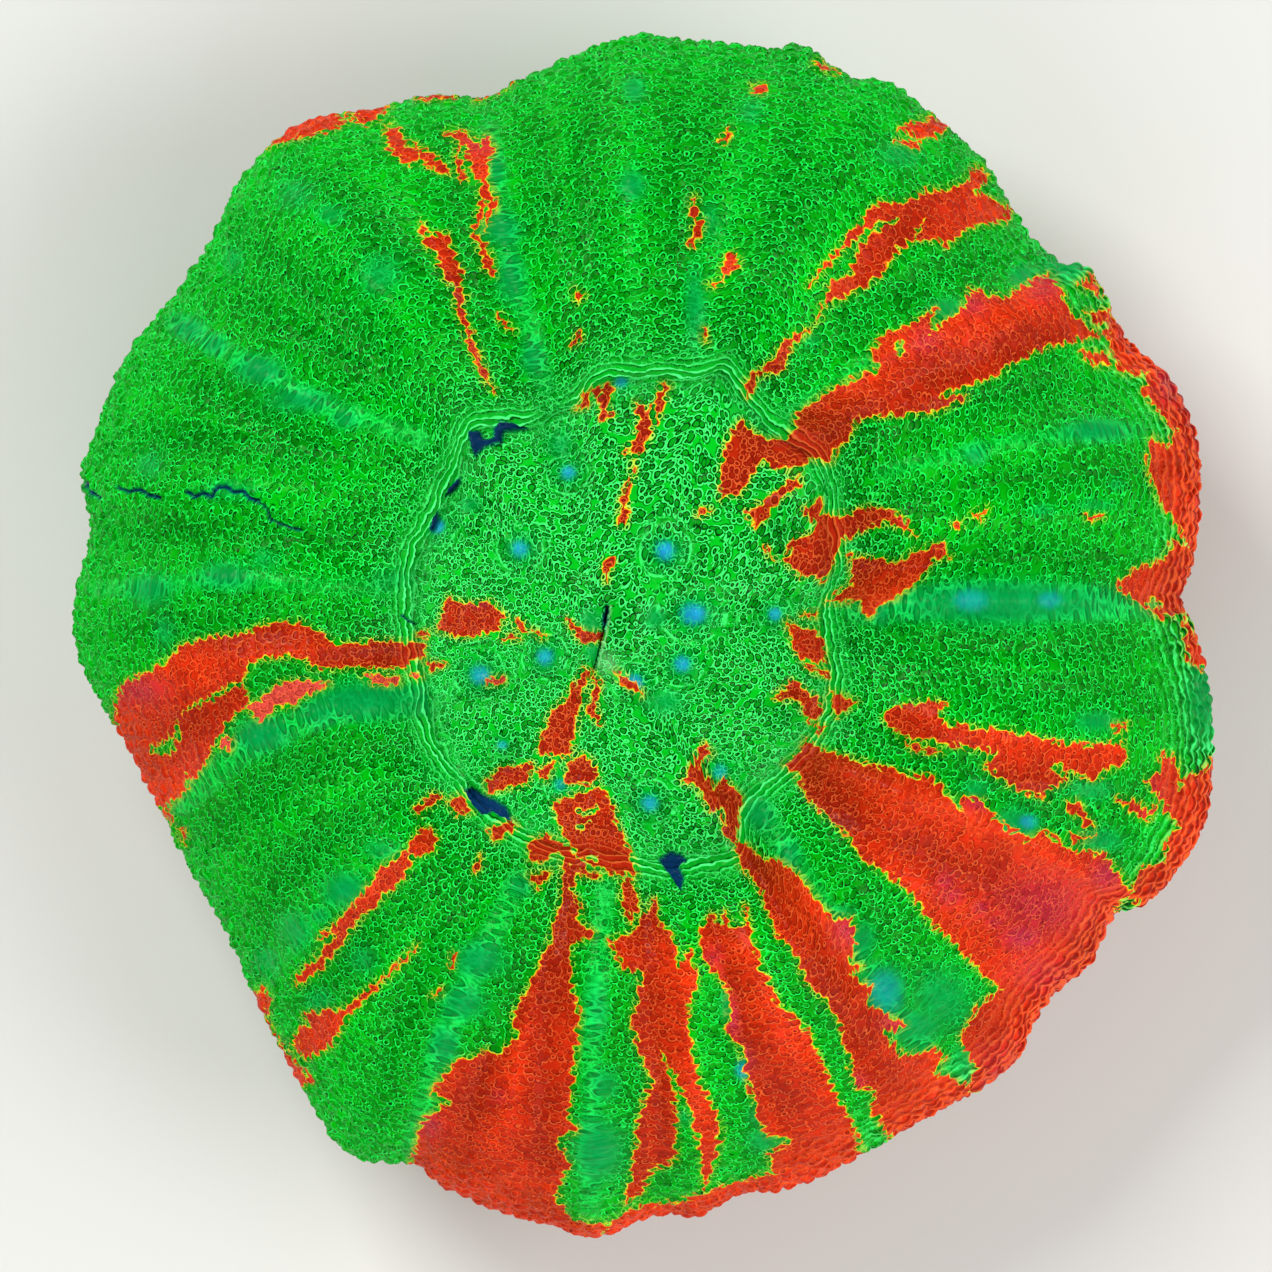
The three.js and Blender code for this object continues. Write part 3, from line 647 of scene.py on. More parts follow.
def arc_lengths(steps):
    """How far along its meridian each ring is from the mouth, at every angle of the table."""
    radius = np.zeros(TABLE_ANGLES)
    height = np.full(TABLE_ANGLES, float(DISC_HEIGHT))
    total = np.zeros(TABLE_ANGLES)
    table = []
    for step in steps:
        row = ring_rows(step, TABLE)
        total = total + np.hypot(row[0] - radius, row[1] - height)
        radius, height = row[0], row[1]
        table.append(total)
    return table


def stitch(inner, inner_count, outer, outer_count):
    """Triangles between two rings with their own numbers of points, given where each starts."""
    i = np.arange(inner_count)
    j = np.arange(outer_count)
    facing = ((2 * i + 1) * outer_count + inner_count) // (2 * inner_count) % outer_count
    inner_faces = np.stack([inner + i, outer + facing, inner + (i + 1) % inner_count], -1)
    behind = -((outer_count - (2 * j + 1) * inner_count) // (2 * outer_count)) % inner_count
    outer_faces = np.stack([inner + behind, outer + j, outer + (j + 1) % outer_count], -1)
    return np.concatenate([inner_faces, outer_faces])


def build_skin():
    """Every point of the fine skin with what is known of it, and its triangles."""
    steps, columns = ring_steps()
    arcs = arc_lengths(steps)
    names = ("angle", "radius", "arc", "from_fold", "from_margin", "step", "disc", "relief", "ribs")
    fields = {name: [np.zeros(1)] for name in names}
    fields["height"] = [np.full(1, float(DISC_HEIGHT))]
    fields["disc"] = [np.ones(1)]
    fold_arc = arcs[steps.index(FOLD_STATION)]
    margin_arc = arcs[steps.index(MARGIN_STATION)]
    starts = []
    total = 1
    period = np.append(TABLE, TURN)
    for step, count, arc in zip(steps, columns, arcs):
        angle = np.arange(count) * TURN / count
        radius, height, disc, relief, ribs = ring_rows(step, angle)
        values = {"angle": angle, "radius": radius, "height": height, "disc": disc, "relief": relief}
        values |= {"ribs": ribs, "step": step}
        for name, start in (("arc", 0), ("from_fold", fold_arc), ("from_margin", margin_arc)):
            past = arc - start
            values[name] = np.interp(angle, period, np.append(past, past[0]))
        for name, value in values.items():
            fields[name].append(np.broadcast_to(np.asarray(value, float), (count,)))
        starts.append(total)
        total += count

    cut = ring_rows(steps[-1], TABLE)[0].mean()
    rings = math.ceil(cut / CUT_STEP)
    for ring in range(1, rings):
        share = 1 - ring / rings
        count = COLUMN_STEP * max(1, round(cut * share * TURN / CUT_STEP / COLUMN_STEP))
        angle = np.arange(count) * TURN / count
        edge = ring_rows(steps[-1], angle)[0]
        ribbed = edge + RIB_DEPTH * ribbing(RIBS, angle)
        values = {"angle": angle, "radius": ribbed * share, "height": 0, "disc": 0, "relief": 0}
        values |= {"ribs": 0, "arc": arcs[-1].mean() + cut * (1 - share), "step": CUT_STATION}
        values |= {"from_fold": 0, "from_margin": 0}
        for name, value in values.items():
            fields[name].append(np.broadcast_to(np.asarray(value, float), (count,)))
        starts.append(total)
        columns.append(count)
        total += count
    for name in fields:
        value = {"height": 0, "step": CUT_STATION, "arc": arcs[-1].mean() + cut}.get(name, 0)
        fields[name].append(np.full(1, float(value)))

    spokes = np.arange(columns[0])
    faces = [np.stack([0 * spokes, 1 + spokes, 1 + (spokes + 1) % columns[0]], -1)]
    for k in range(len(starts) - 1):
        faces.append(stitch(starts[k], columns[k], starts[k + 1], columns[k + 1]))
    spokes = np.arange(columns[-1])
    inner = starts[-1] + spokes
    faces.append(np.stack([inner, 0 * spokes + total, starts[-1] + (spokes + 1) % columns[-1]], -1))
    return {name: np.concatenate(parts) for name, parts in fields.items()}, np.concatenate(faces)


def add_solid_relief(skin):
    """The solid's own ridges, teeth, mouth and ribs, on the fine points. Returns their places."""
    ray = np.stack([np.cos(skin["angle"]), np.sin(skin["angle"])], -1)
    ribs = RIB_DEPTH * skin["ribs"] * ribbing(RIBS, skin["angle"])
    plan = MOUTH_PLACE + ray * (skin["radius"] + ribs)[:, None]
    height = skin["height"].copy()

    top = skin["relief"] > 0
    crest = np.zeros(top.sum())
    nearest = np.full(top.sum(), np.inf)
    for strength, path in RIDGES:
        steps = distance_to(plan_to_mm(path), plan[top]) / RIDGE_SPREAD
        crest = np.maximum(crest, strength * bell(steps, 1))
        nearest = np.minimum(nearest, steps)
    valley = bell(nearest - GROOVE_PLACE, GROOVE_SPREAD)
    lift = CREST * crest - GROOVE * valley + PUFF * smooth(PUFF_START, PUFF_FULL, nearest)
    height[top] += skin["relief"][top] * lift
    skin["crest"] = np.zeros(len(height))
    skin["crest"][top] = crest
    # The grooves are kept for the flesh, whose colour darkens them as painted shade
    skin["valley"] = np.zeros(len(height))
    skin["valley"][top] = valley * skin["relief"][top]

    inner = skin["disc"] > 0
    from_mouth = distance_to(plan_to_mm(MOUTH_SLIT), plan[inner])
    lift = MOUTH_LIP * bell(from_mouth - MOUTH_LIP_REACH, MOUTH_LIP_REACH / 2)
    lift -= MOUTH_DEPTH * bell(from_mouth, MOUTH_SPREAD)
    for tip in plan_to_mm(TEETH):
        arm = tip - MOUTH_PLACE
        tail = np.stack([tip, tip + arm * TAIL_LENGTH / np.hypot(*arm)])
        lift += TOOTH_HEIGHT * bell(np.hypot(*(plan[inner] - tip).T), TOOTH_SPREAD)
        lift += TAIL_HEIGHT * bell(distance_to(tail, plan[inner]), TAIL_SPREAD)
    height[inner] += skin["disc"][inner] * lift
    return np.column_stack([plan, height])


def vertex_normals(points, faces):
    corners = points[faces]
    across = np.cross(corners[:, 1] - corners[:, 0], corners[:, 2] - corners[:, 0])
    normals = np.zeros_like(points)
    for axis in range(3):
        for corner in range(3):
            normals[:, axis] += np.bincount(faces[:, corner], across[:, axis], len(points))
    return normals / np.linalg.norm(normals, axis=1, keepdims=True)


def seen_places(points):
    """Where the camera sees these points, in plan places."""
    middle = FRAME_PIXELS / 2
    nearer = CAMERA_DISTANCE / MM / (CAMERA_DISTANCE / MM + MARGIN_HEIGHT - points[:, 2])
    right = middle + (points[:, 0] / SCALE + PLAN_CENTRE[0] - middle) * nearer
    down = middle + (PLAN_CENTRE[1] - middle - points[:, 1] / SCALE) * nearer
    return np.column_stack([right, down])


def inside(outline, places):
    """Which places a closed outline holds."""
    held = np.zeros(len(places), bool)
    for start, end in zip(outline, np.roll(outline, -1, axis=0)):
        crosses = (start[1] > places[:, 1]) != (end[1] > places[:, 1])
        if start[1] != end[1]:
            where = start[0] + (places[:, 1] - start[1]) * (end[0] - start[0]) / (end[1] - start[1])
            held ^= crosses & (places[:, 0] < where)
    return held


def patch_distance(outline, places):
    """How deep inside the outline each place is, in millimetres and below zero outside, and the way in."""
    outline = np.asarray(outline, float)
    depth = np.full(len(places), -PATCH_REACH)
    way = np.zeros((len(places), 2))
    reach = PATCH_REACH / SCALE
    low = outline.min(0) - reach
    high = outline.max(0) + reach
    near = np.flatnonzero(((places > low) & (places < high)).all(1))
    if len(near) == 0:
        return depth, way
    chosen = places[near]
    distance, foot = nearest_on_line(np.vstack([outline, outline[:1]]), chosen)
    sign = np.where(inside(outline, chosen), 1.0, -1.0)
    depth[near] = np.maximum(sign * distance * SCALE, -PATCH_REACH)
    way[near] = (chosen - foot) * (sign / np.maximum(distance, 0.01))[:, None] * [1, -1]
    return depth, way


def red_field(places):
    """Depth in the red patches, the way in, and how pink the patch is."""
    depth = np.full(len(places), -PATCH_REACH)
    way = np.zeros((len(places), 2))
    pink = np.zeros(len(places))
    for tint, outlines in ((0.0, RED), (1.0, PINK)):
        for outline in outlines:
            one, one_way = patch_distance(outline, places)
            deeper = one > depth
            depth[deeper] = one[deeper]
            way[deeper] = one_way[deeper]
            pink[deeper] = tint
    for outline in GREEN:
        one, one_way = patch_distance(outline, places)
        out = -one < depth
        depth[out] = -one[out]
        way[out] = -one_way[out]
    return depth, way, pink


def spots(places, listed, hardness=1.0):
    """How strongly the listed soft spots show at each place."""
    total = np.zeros(len(places))
    for right, down, half_width, half_height, strength in listed:
        steps = ((places[:, 0] - right) / half_width) ** 2 + ((places[:, 1] - down) / half_height) ** 2
        total = np.maximum(total, strength * np.exp(-(steps**hardness)))
    return total


def unevenness(place):
    """A small smooth shift of every place, which keeps the cells from being evenly round."""
    chooser = np.random.default_rng(UNEVEN_SEED)
    shift = np.zeros_like(place)
    for _ in range(UNEVEN_WAVES):
        way, push = chooser.normal(size=(2, 3))
        turns = chooser.uniform(0.25, 0.6) / CELL_SIZE / np.linalg.norm(way)
        wave = np.sin(TURN * (turns * (place @ way) + chooser.random()))
        shift += wave[:, None] * push / np.linalg.norm(push)
    return UNEVEN * CELL_SIZE * shift


def radii_away(places, listed):
    """How far the nearest spot is, counted in its own radii."""
    nearest = np.full(len(places), np.inf)
    for x, y, across, along, _ in listed:
        nearest = np.minimum(nearest, np.hypot((places[:, 0] - x) / across, (places[:, 1] - y) / along))
    return nearest


def navy_field(places):
    """How much navy each place has, painted as shade in the torn places' outlines and along their lines."""
    total = np.zeros(len(places))
    for outline in NAVY:
        total = np.maximum(total, smooth(-0.08, 0.1, patch_distance(outline, places)[0]))
    for width, line in NAVY_LINES:
        distance = distance_to(np.asarray(line, float), places)
        total = np.maximum(total, 1 - smooth(width * 0.3, width * 0.7, distance))
    return total


class Nodes:
    """Adds nodes to a tree and joins them. A value is a socket, a number or a colour."""

    def __init__(self, tree):
        self.tree = tree

    def feed(self, socket, value):
        if isinstance(value, bpy.types.NodeSocket):
            self.tree.links.new(value, socket)
        else:
            socket.default_value = value

    def add(self, kind, inputs=None, **settings):
        node = self.tree.nodes.new(kind)
        for name, value in settings.items():
            setattr(node, name, value)
        for name, value in (inputs or {}).items():
            self.feed(node.inputs[name], value)
        return node

    def read(self, name, output="Fac"):
        """A value that the mesh carries."""
        return self.add("ShaderNodeAttribute", attribute_name=name).outputs[output]

    def math(self, operation, *values):
        node = self.add("ShaderNodeMath", operation=operation)
        for socket, value in zip(node.inputs, values):
            self.feed(socket, value)
        return node.outputs[0]

    def vector(self, operation, *values):
        node = self.add("ShaderNodeVectorMath", operation=operation)
        for socket, value in zip(node.inputs, values):
            self.feed(socket, value)
        return node.outputs["Value" if operation == "DOT_PRODUCT" else "Vector"]

    def ramp(self, value, low, high, start=0.0, end=1.0):
        """From start to end as the value goes from low to high, smoothly."""
        inputs = {"Value": value, "From Min": low, "From Max": high, "To Min": start, "To Max": end}
        return self.add("ShaderNodeMapRange", inputs, interpolation_type="SMOOTHSTEP").outputs[0]

    def band(self, value, middle, width):
        """One in the middle of the band and nothing past its width."""
        return self.ramp(self.math("ABSOLUTE", self.math("SUBTRACT", value, middle)), 0, width, 1, 0)

    def mix(self, share, first, second):
        """Between two colours."""
        node = self.add("ShaderNodeMix", data_type="RGBA")
        self.feed(node.inputs[0], share)
        self.feed(node.inputs[6], first)
        self.feed(node.inputs[7], second)
        return node.outputs[2]

    def layered(self, colour, layers):
        """The colour with each layer's share of a further colour laid over it in turn."""
        for share, further in layers:
            colour = self.mix(share, colour, linear(further))
        return colour

    def blend(self, share, first, second):
        """Between two numbers."""
        node = self.add("ShaderNodeMix", data_type="FLOAT")
        self.feed(node.inputs[0], share)
        self.feed(node.inputs[2], first)
        self.feed(node.inputs[3], second)
        return node.outputs[0]

    def product(self, *values):
        total = values[0]
        for value in values[1:]:
            total = self.math("MULTIPLY", total, value)
        return total

    def noise(self, vector, scale, detail):
        inputs = {"Vector": vector, "Scale": scale, "Detail": detail}
        return self.add("ShaderNodeTexNoise", inputs).outputs[0]

    def two_cells(self, vector, scale, randomness):
        """The nearest and the next nearest cell of a pattern."""
        inputs = {"Vector": vector, "Scale": scale, "Randomness": randomness}
        return [self.add("ShaderNodeTexVoronoi", inputs, feature=feature) for feature in ("F1", "F2")]

    def nearness(self, first, second):
        """How near the border between two cells a place is: one on the border."""
        return self.math("DIVIDE", first.outputs["Distance"], second.outputs["Distance"])

    def cells(self, vector, scale, randomness):
        """How near the border of its cell a place is: one on the border."""
        return self.nearness(*self.two_cells(vector, scale, randomness))

    def finish(self, inputs):
        """The surface's shader, with these inputs."""
        shader = self.add("ShaderNodeBsdfPrincipled", inputs)
        self.feed(self.add("ShaderNodeOutputMaterial").inputs[0], shader.outputs[0])


def pattern_tree():
    """A tree that stores the patterns on each point, and the patterns' names."""
    tree = bpy.data.node_groups.new("coral_patterns", "GeometryNodeTree")
    tree.interface.new_socket("Geometry", in_out="INPUT", socket_type="NodeSocketGeometry")
    tree.interface.new_socket("Geometry", in_out="OUTPUT", socket_type="NodeSocketGeometry")
    nodes = Nodes(tree)
    skin_place, flow_place = (
        nodes.add("GeometryNodeInputNamedAttribute", {"Name": name}, data_type="FLOAT_VECTOR").outputs[0]
        for name in ("skin", "flow")
    )
    place = nodes.add("GeometryNodeInputPosition").outputs[0]
    patterns = {
        "blister": nodes.cells(skin_place, 1 / CELL_SIZE, BLISTER_RANDOM),
        "stretched": nodes.cells(flow_place, 1.0, STRETCHED_RANDOM),
        "bead": nodes.cells(place, 1 / BEAD_SIZE, BEAD_RANDOM),
        "grain": nodes.noise(place, *GRAIN_NOISE),
    }
    for name, (scale, detail) in SKIN_NOISES.items():
        patterns[name] = nodes.noise(skin_place, scale, detail)
    geometry = nodes.add("NodeGroupInput").outputs[0]
    for name, value in patterns.items():
        inputs = {"Geometry": geometry, "Name": name, "Value": value}
        geometry = nodes.add("GeometryNodeStoreNamedAttribute", inputs, data_type="FLOAT").outputs[0]
    nodes.feed(nodes.add("NodeGroupOutput").inputs[0], geometry)
    return tree, list(patterns)


def add_attribute(mesh, name, values):
    vector = values.ndim == 2
    attribute = mesh.attributes.new(name, "FLOAT_VECTOR" if vector else "FLOAT", "POINT")
    attribute.data.foreach_set("vector" if vector else "value", values.astype(np.float32).ravel())


def pattern_values(points, skin_place, flow_place):
    """The patterns' values at these points."""
    mesh = bpy.data.meshes.new("pattern_points")
    mesh.vertices.add(len(points))
    mesh.vertices.foreach_set("co", points.astype(np.float32).ravel())
    add_attribute(mesh, "skin", skin_place)
    add_attribute(mesh, "flow", flow_place)
    carrier = bpy.data.objects.new("pattern_points", mesh)
    bpy.context.scene.collection.objects.link(carrier)
    tree, names = pattern_tree()
    carrier.modifiers.new("patterns", "NODES").node_group = tree
    evaluated = carrier.evaluated_get(bpy.context.evaluated_depsgraph_get()).data
    found = {}
    for name in names:
        values = np.zeros(len(points), np.float32)
        evaluated.attributes[name].data.foreach_get("value", values)
        found[name] = values.astype(float)
    bpy.data.objects.remove(carrier)
    bpy.data.meshes.remove(mesh)
    bpy.data.node_groups.remove(tree)
    return found


def dome(edge):
    """A rounded top that falls to its border, from how near the border a place is."""
    return 1 - np.clip(edge, 0, 1) ** 2


def new_material(name):
    material = bpy.data.materials.new(name)
    material.use_nodes = True
    material.node_tree.nodes.clear()
    return material, Nodes(material.node_tree)


def arm_to(nodes, cell, skin_place):
    """From this place to the middle of a cell."""
    return nodes.vector("SUBTRACT", cell.outputs["Position"], skin_place)


def patch_cells(nodes, skin_place, first, second):
    """Whether the nearest cell is red, which whole cells are, and how near a cell of the other kind is."""
    depth = nodes.read("red")
    way = nodes.read("way", "Vector")
    reds = []
    for cell in (first, second):
        deeper = nodes.vector("DOT_PRODUCT", arm_to(nodes, cell, skin_place), way)
        reds.append(nodes.ramp(nodes.math("ADD", depth, deeper), -0.02, 0.02))
    differs = nodes.math("ABSOLUTE", nodes.math("SUBTRACT", *reds))
    return reds[0], nodes.product(differs, nodes.ramp(nodes.nearness(first, second), 0.74, 0.88), 0.9)


def blister_lines(nodes, skin_place, cell):
    """The bright rim and the dark lines of the round blister in a cell, which its neighbours cut. The rim
    is partly a painted highlight, and the dark next to it is painted shade.

    Rims are whole rings on the disc, and stronger at the outer side on the mantle.
    """
    arm = arm_to(nodes, cell, skin_place)
    below = nodes.vector("DOT_PRODUCT", arm, nodes.read("over", "Vector"))
    below = nodes.math("MULTIPLY", nodes.math("MULTIPLY", below, below), 1 / CELL_SIZE**2)

    def along_skin(squared):
        return nodes.math("SQRT", nodes.math("MAXIMUM", nodes.math("SUBTRACT", squared, below), 0.0))

    chance = nodes.ramp(cell.outputs["Color"], 0.2, 0.8)
    reach = along_skin(nodes.ramp(chance, 0, 1, RING_SMALL**2, RING_LARGE**2))
    away = along_skin(nodes.math("MULTIPLY", cell.outputs["Distance"], cell.outputs["Distance"]))
    past = nodes.math("SUBTRACT", away, reach)
    shown = nodes.ramp(reach, 0.1, 0.2)
    facing = nodes.ramp(nodes.vector("DOT_PRODUCT", arm, (0, 0, -1)), -0.06, 0.08)
    arched = nodes.read("arched")
    turned = nodes.blend(arched, 1.0, nodes.ramp(facing, 0, 1, 0.4, 1.0))
    # The rim line, the skin's pale outline brightened as a painted highlight
    line = nodes.ramp(nodes.band(past, 0.0, 0.2), 0.32, 0.8)
    rims = nodes.product(line, shown, turned, nodes.ramp(chance, 0, 1, 0.85, 1.0))
    # Painted shade: dark lines just outside and inside the raised rim
    outside = nodes.ramp(nodes.band(past, 0.22, 0.16), 0.1, 0.7, 0.0, 0.85)
    inner_side = nodes.ramp(nodes.band(past, -0.22, 0.18), 0.1, 0.7)
    shade_beside_rims = nodes.product(nodes.math("MAXIMUM", inner_side, outside), turned)
    core = nodes.product(nodes.ramp(past, -0.25, -0.1, 0.4, 0.0), nodes.blend(arched, 1.0, chance))
    return rims, nodes.product(nodes.math("MAXIMUM", shade_beside_rims, core), shown)


def skin_lines(nodes, skin_place, cell):
    """The bright and the dark lines of the skin: blisters, long cells over the ridges, and stripes. The
    bright lines are partly painted highlights and the dark ones partly painted shade.
    """
    blister_rims, blister_dark = blister_lines(nodes, skin_place, cell)
    long_edge = nodes.read("stretched")
    long_rims = nodes.product(nodes.band(long_edge, 0.84, 0.16), 0.75)
    long_dark = nodes.product(nodes.band(long_edge, 0.66, 0.2), 0.6)
    phase = nodes.math("FRACT", nodes.read("phase"))
    stripe_rims = nodes.ramp(nodes.band(phase, 0.5, 0.24), 0.2, 0.8)
    stripe_dark = nodes.band(phase, 0.2, 0.22)
    wrinkled = nodes.read("wrinkled")
    lined = nodes.read("lined")
    rims = nodes.blend(lined, nodes.blend(wrinkled, blister_rims, long_rims), stripe_rims)
    dark = nodes.blend(lined, nodes.blend(wrinkled, blister_dark, long_dark), stripe_dark)
    off_teal = nodes.ramp(nodes.read("teal"), 0.15, 0.7, 1.0, 0.15)
    off_blue = nodes.ramp(nodes.read("blue"), 0.3, 0.8, 1.0, 0.2)
    return nodes.product(rims, nodes.read("patchy"), off_teal), nodes.product(dark, off_teal, off_blue)


def green_skin(nodes, rims, dark):
    """Green that is paler on the disc, with teal, blue dots, valleys darkened as painted shade, dark lines
    that are partly painted shade, and rims that are partly painted highlights and yellower by the red.
    """
    pale = nodes.read("pale")
    teal = nodes.read("teal")
    green = nodes.layered(nodes.mix(pale, linear(GREEN_BODY), linear(PALE_BODY)), [
        (nodes.ramp(nodes.read("shade"), 0.35, 0.65, 0.2, 0.0), GREEN_PIT),
        # painted shade in the ridges' grooves and under the fold
        (nodes.product(nodes.read("valley"), 0.4), GREEN_PIT),
        (nodes.product(nodes.read("wrinkled"), 0.6), TEAL_DARK),
        (teal, TEAL_BODY),
        (nodes.read("blue"), BLUE_BODY),
        # the dark lines, partly painted shade next to the rims
        (nodes.product(dark, 0.95), GREEN_PIT),
    ])
    pale_rims = nodes.math("MAXIMUM", pale, nodes.read("lined"))
    # the rims: the skin's pale outlines, partly painted highlights
    rim = nodes.layered(nodes.mix(pale_rims, linear(GREEN_RIM), linear(PALE_RIM)), [
        (teal, TEAL_RIM),
        (nodes.ramp(nodes.read("red"), -0.55, -0.1, 0.0, 0.6), BORDER_YELLOW),
    ])
    return nodes.mix(rims, green, rim)


def red_skin(nodes, rims, dark):
    """Scarlet that is deeper on the disc and darkened in the valleys as painted shade, with magenta and
    pink in it.
    """
    return nodes.layered(nodes.mix(nodes.read("outer"), linear(RED_PIT), linear(RED_BODY)), [
        (nodes.ramp(nodes.read("shade"), 0.35, 0.65, 0.3, 0.0), RED_PIT),
        # painted shade in the ridges' grooves and under the fold
        (nodes.product(nodes.read("valley"), 0.5), RED_PIT),
        (nodes.read("magenta"), MAGENTA_BODY),
        (nodes.read("pink"), PINK_BODY),
        # dark lines partly painted shade, rims partly painted highlights
        (nodes.product(dark, 0.75), RED_PIT),
        (nodes.product(rims, 0.45), RED_RIM),
    ])


def flesh_material():
    material, nodes = new_material("coral_flesh")
    skin_place = nodes.read("skin", "Vector")
    first, second = nodes.two_cells(skin_place, 1 / CELL_SIZE, BLISTER_RANDOM)
    red, border = patch_cells(nodes, skin_place, first, second)
    # rims are partly painted highlights, dark is partly painted shade next to them
    rims, dark = skin_lines(nodes, skin_place, first)
    colour = nodes.mix(red, green_skin(nodes, rims, dark), red_skin(nodes, rims, dark))
    colour = nodes.mix(border, colour, nodes.mix(red, linear(BORDER_YELLOW), linear(BORDER_ORANGE)))
    bead_rims = nodes.product(nodes.band(nodes.read("bead"), 0.88, 0.14), nodes.read("marginal"), 0.12)
    colour = nodes.mix(bead_rims, colour, nodes.mix(red, linear(GREEN_RIM), linear(RED_RIM)))
    # The lip's pale colour, then navy painted as shade in the torn places and the mouth's opening
    colour = nodes.layered(colour, [(nodes.read("lip"), LIP_PALE), (nodes.read("navy"), NAVY_BODY)])
    nodes.finish({"Base Color": colour, "Roughness": FLESH_ROUGHNESS, "Specular IOR Level": FLESH_GLOSS})
    return material


def skeleton_material():
    """Pale ribbed stone with tan in its hollows, pores, and green growth below the flesh."""
    material, nodes = new_material("coral_skeleton")
    place = nodes.add("ShaderNodeTexCoord").outputs["Object"]
    grain = nodes.noise(place, 900.0, 4.0)
    broad = nodes.noise(place, 90.0, 3.0)
    pores = nodes.cells(place, 1100.0, 1.0)
    colour = nodes.layered(linear(SKELETON_PALE), [
        (nodes.ramp(broad, 0.35, 0.65, 0.1, 0.6), SKELETON_TAN),
        (nodes.ramp(nodes.read("rib"), 0.2, 0.8, 0.5, 0.0), SKELETON_TAN),
        (nodes.ramp(grain, 0.35, 0.6, 0.35, 0.0), SKELETON_TAN),
        (nodes.product(nodes.read("stain"), nodes.ramp(broad, 0.3, 0.6, 0.5, 1.0)), SKELETON_GREEN),
    ])
    height = nodes.math("ADD", grain, nodes.product(nodes.math("POWER", pores, 2.0), -0.6))
    bump = nodes.add("ShaderNodeBump", {"Strength": 0.7, "Distance": 0.0002, "Height": height})
    nodes.finish({
        "Base Color": colour,
        "Roughness": STONE_ROUGHNESS,
        "Normal": bump.outputs[0],
        "Specular IOR Level": STONE_GLOSS,
    })
    return material


def mouth_closing(points):
    """How far the hollow of the solid's mouth is filled, and the slit and opening cut into that."""
    def near(line, spread):
        return bell(distance_to(plan_to_mm(line), points[:, :2]), spread)

    filled = MOUTH_FILL * near(MOUTH_SLIT, MOUTH_SPREAD)
    filled -= SLIT_DEPTH * near(MOUTH_LINE, SLIT_SPREAD)
    return filled - OPENING_DEPTH * near(MOUTH_OPENING, OPENING_SPREAD)


def marking_places(skin, points, ray):
    """Where each point's markings are in the plan. Below the margin they are those of the margin."""
    margin = MOUTH_PLACE + ray * (UNDER_SHARE * OUTLINE_RADIUS(skin["angle"]))[:, None]
    margin = np.column_stack([margin, np.full(len(margin), MARGIN_HEIGHT)])
    below = skin["step"] > MARGIN_STATION
    return np.where(below[:, None], seen_places(margin), seen_places(points))


def cell_places(skin, ray, fold_arc):
    """Each point's place among the cells, on a flat disc and a cone that opens from it, and its radius."""
    climbed = np.maximum(skin["from_fold"], 0)
    wrapped = DISC_WRAP * np.clip(skin["arc"] / fold_arc, 0, 1) + WIDENING * climbed
    place = np.column_stack([ray * wrapped[:, None], climbed])
    return place + unevenness(place), wrapped


def ways_among_cells(skin, ray, fold_arc, wrapped, way):
    """A way in the plan as one among the cells, and the way straight out of the disc or the cone."""
    on_disc = skin["from_fold"] < 0
    across = np.stack([-ray[:, 1], ray[:, 0]], -1)
    way_across = (way * across).sum(1) * skin["radius"] / np.maximum(wrapped, 0.1)
    way_out = (way * ray).sum(1)
    rise = np.where(on_disc, DISC_WRAP / fold_arc, WIDENING)
    climb = np.where(on_disc, 0.0, 1.0)
    way_along = way_out * np.where(on_disc, 1.0, MANTLE_SLOPE) / (rise**2 + climb**2)
    way_flat = across * way_across[:, None] + ray * (way_along * rise)[:, None]
    over = np.column_stack([ray * climb[:, None], -rise]) / np.hypot(rise, climb)[:, None]
    return np.column_stack([way_flat, way_along * climb]), over


def stripes(skin, ray, out, on_margin, halo, patterns):
    """Stripes along the fold and the margin and round the blue dots: their count, and how they show."""
    wander = 2.6 * patterns["swell"] + 0.7 * patterns["patchy"]
    by_fold = skin["from_fold"] / FOLD_LINE_STEP
    by_margin = skin["from_margin"] / MARGIN_LINE_STEP
    phase = np.where(out < 0.5, by_fold, by_margin) + wander
    on_wall = np.clip(1.4 * bell(skin["from_fold"] - 0.7, 1.6) - 0.2, 0, 1)
    on_wall *= skin["step"] < MARGIN_STATION
    eastern = 0.15 + 0.85 * smooth(0.4, 0.9, ray[:, 0] - 0.2 * ray[:, 1])
    lined = np.maximum(on_wall * smooth(0.25, 0.45, patterns["shade"]), eastern * on_margin)
    on_disc = (skin["from_fold"] < 0) & (on_wall < 0.3)
    in_halo = 0.7 * bell(halo - 3.0, 0.8) * on_disc * smooth(0.45, 0.58, patterns["patchy"])
    phase = np.where(in_halo > 0.1, halo * 0.9 + 0.6 * wander, phase)
    return phase, np.maximum(lined, in_halo)


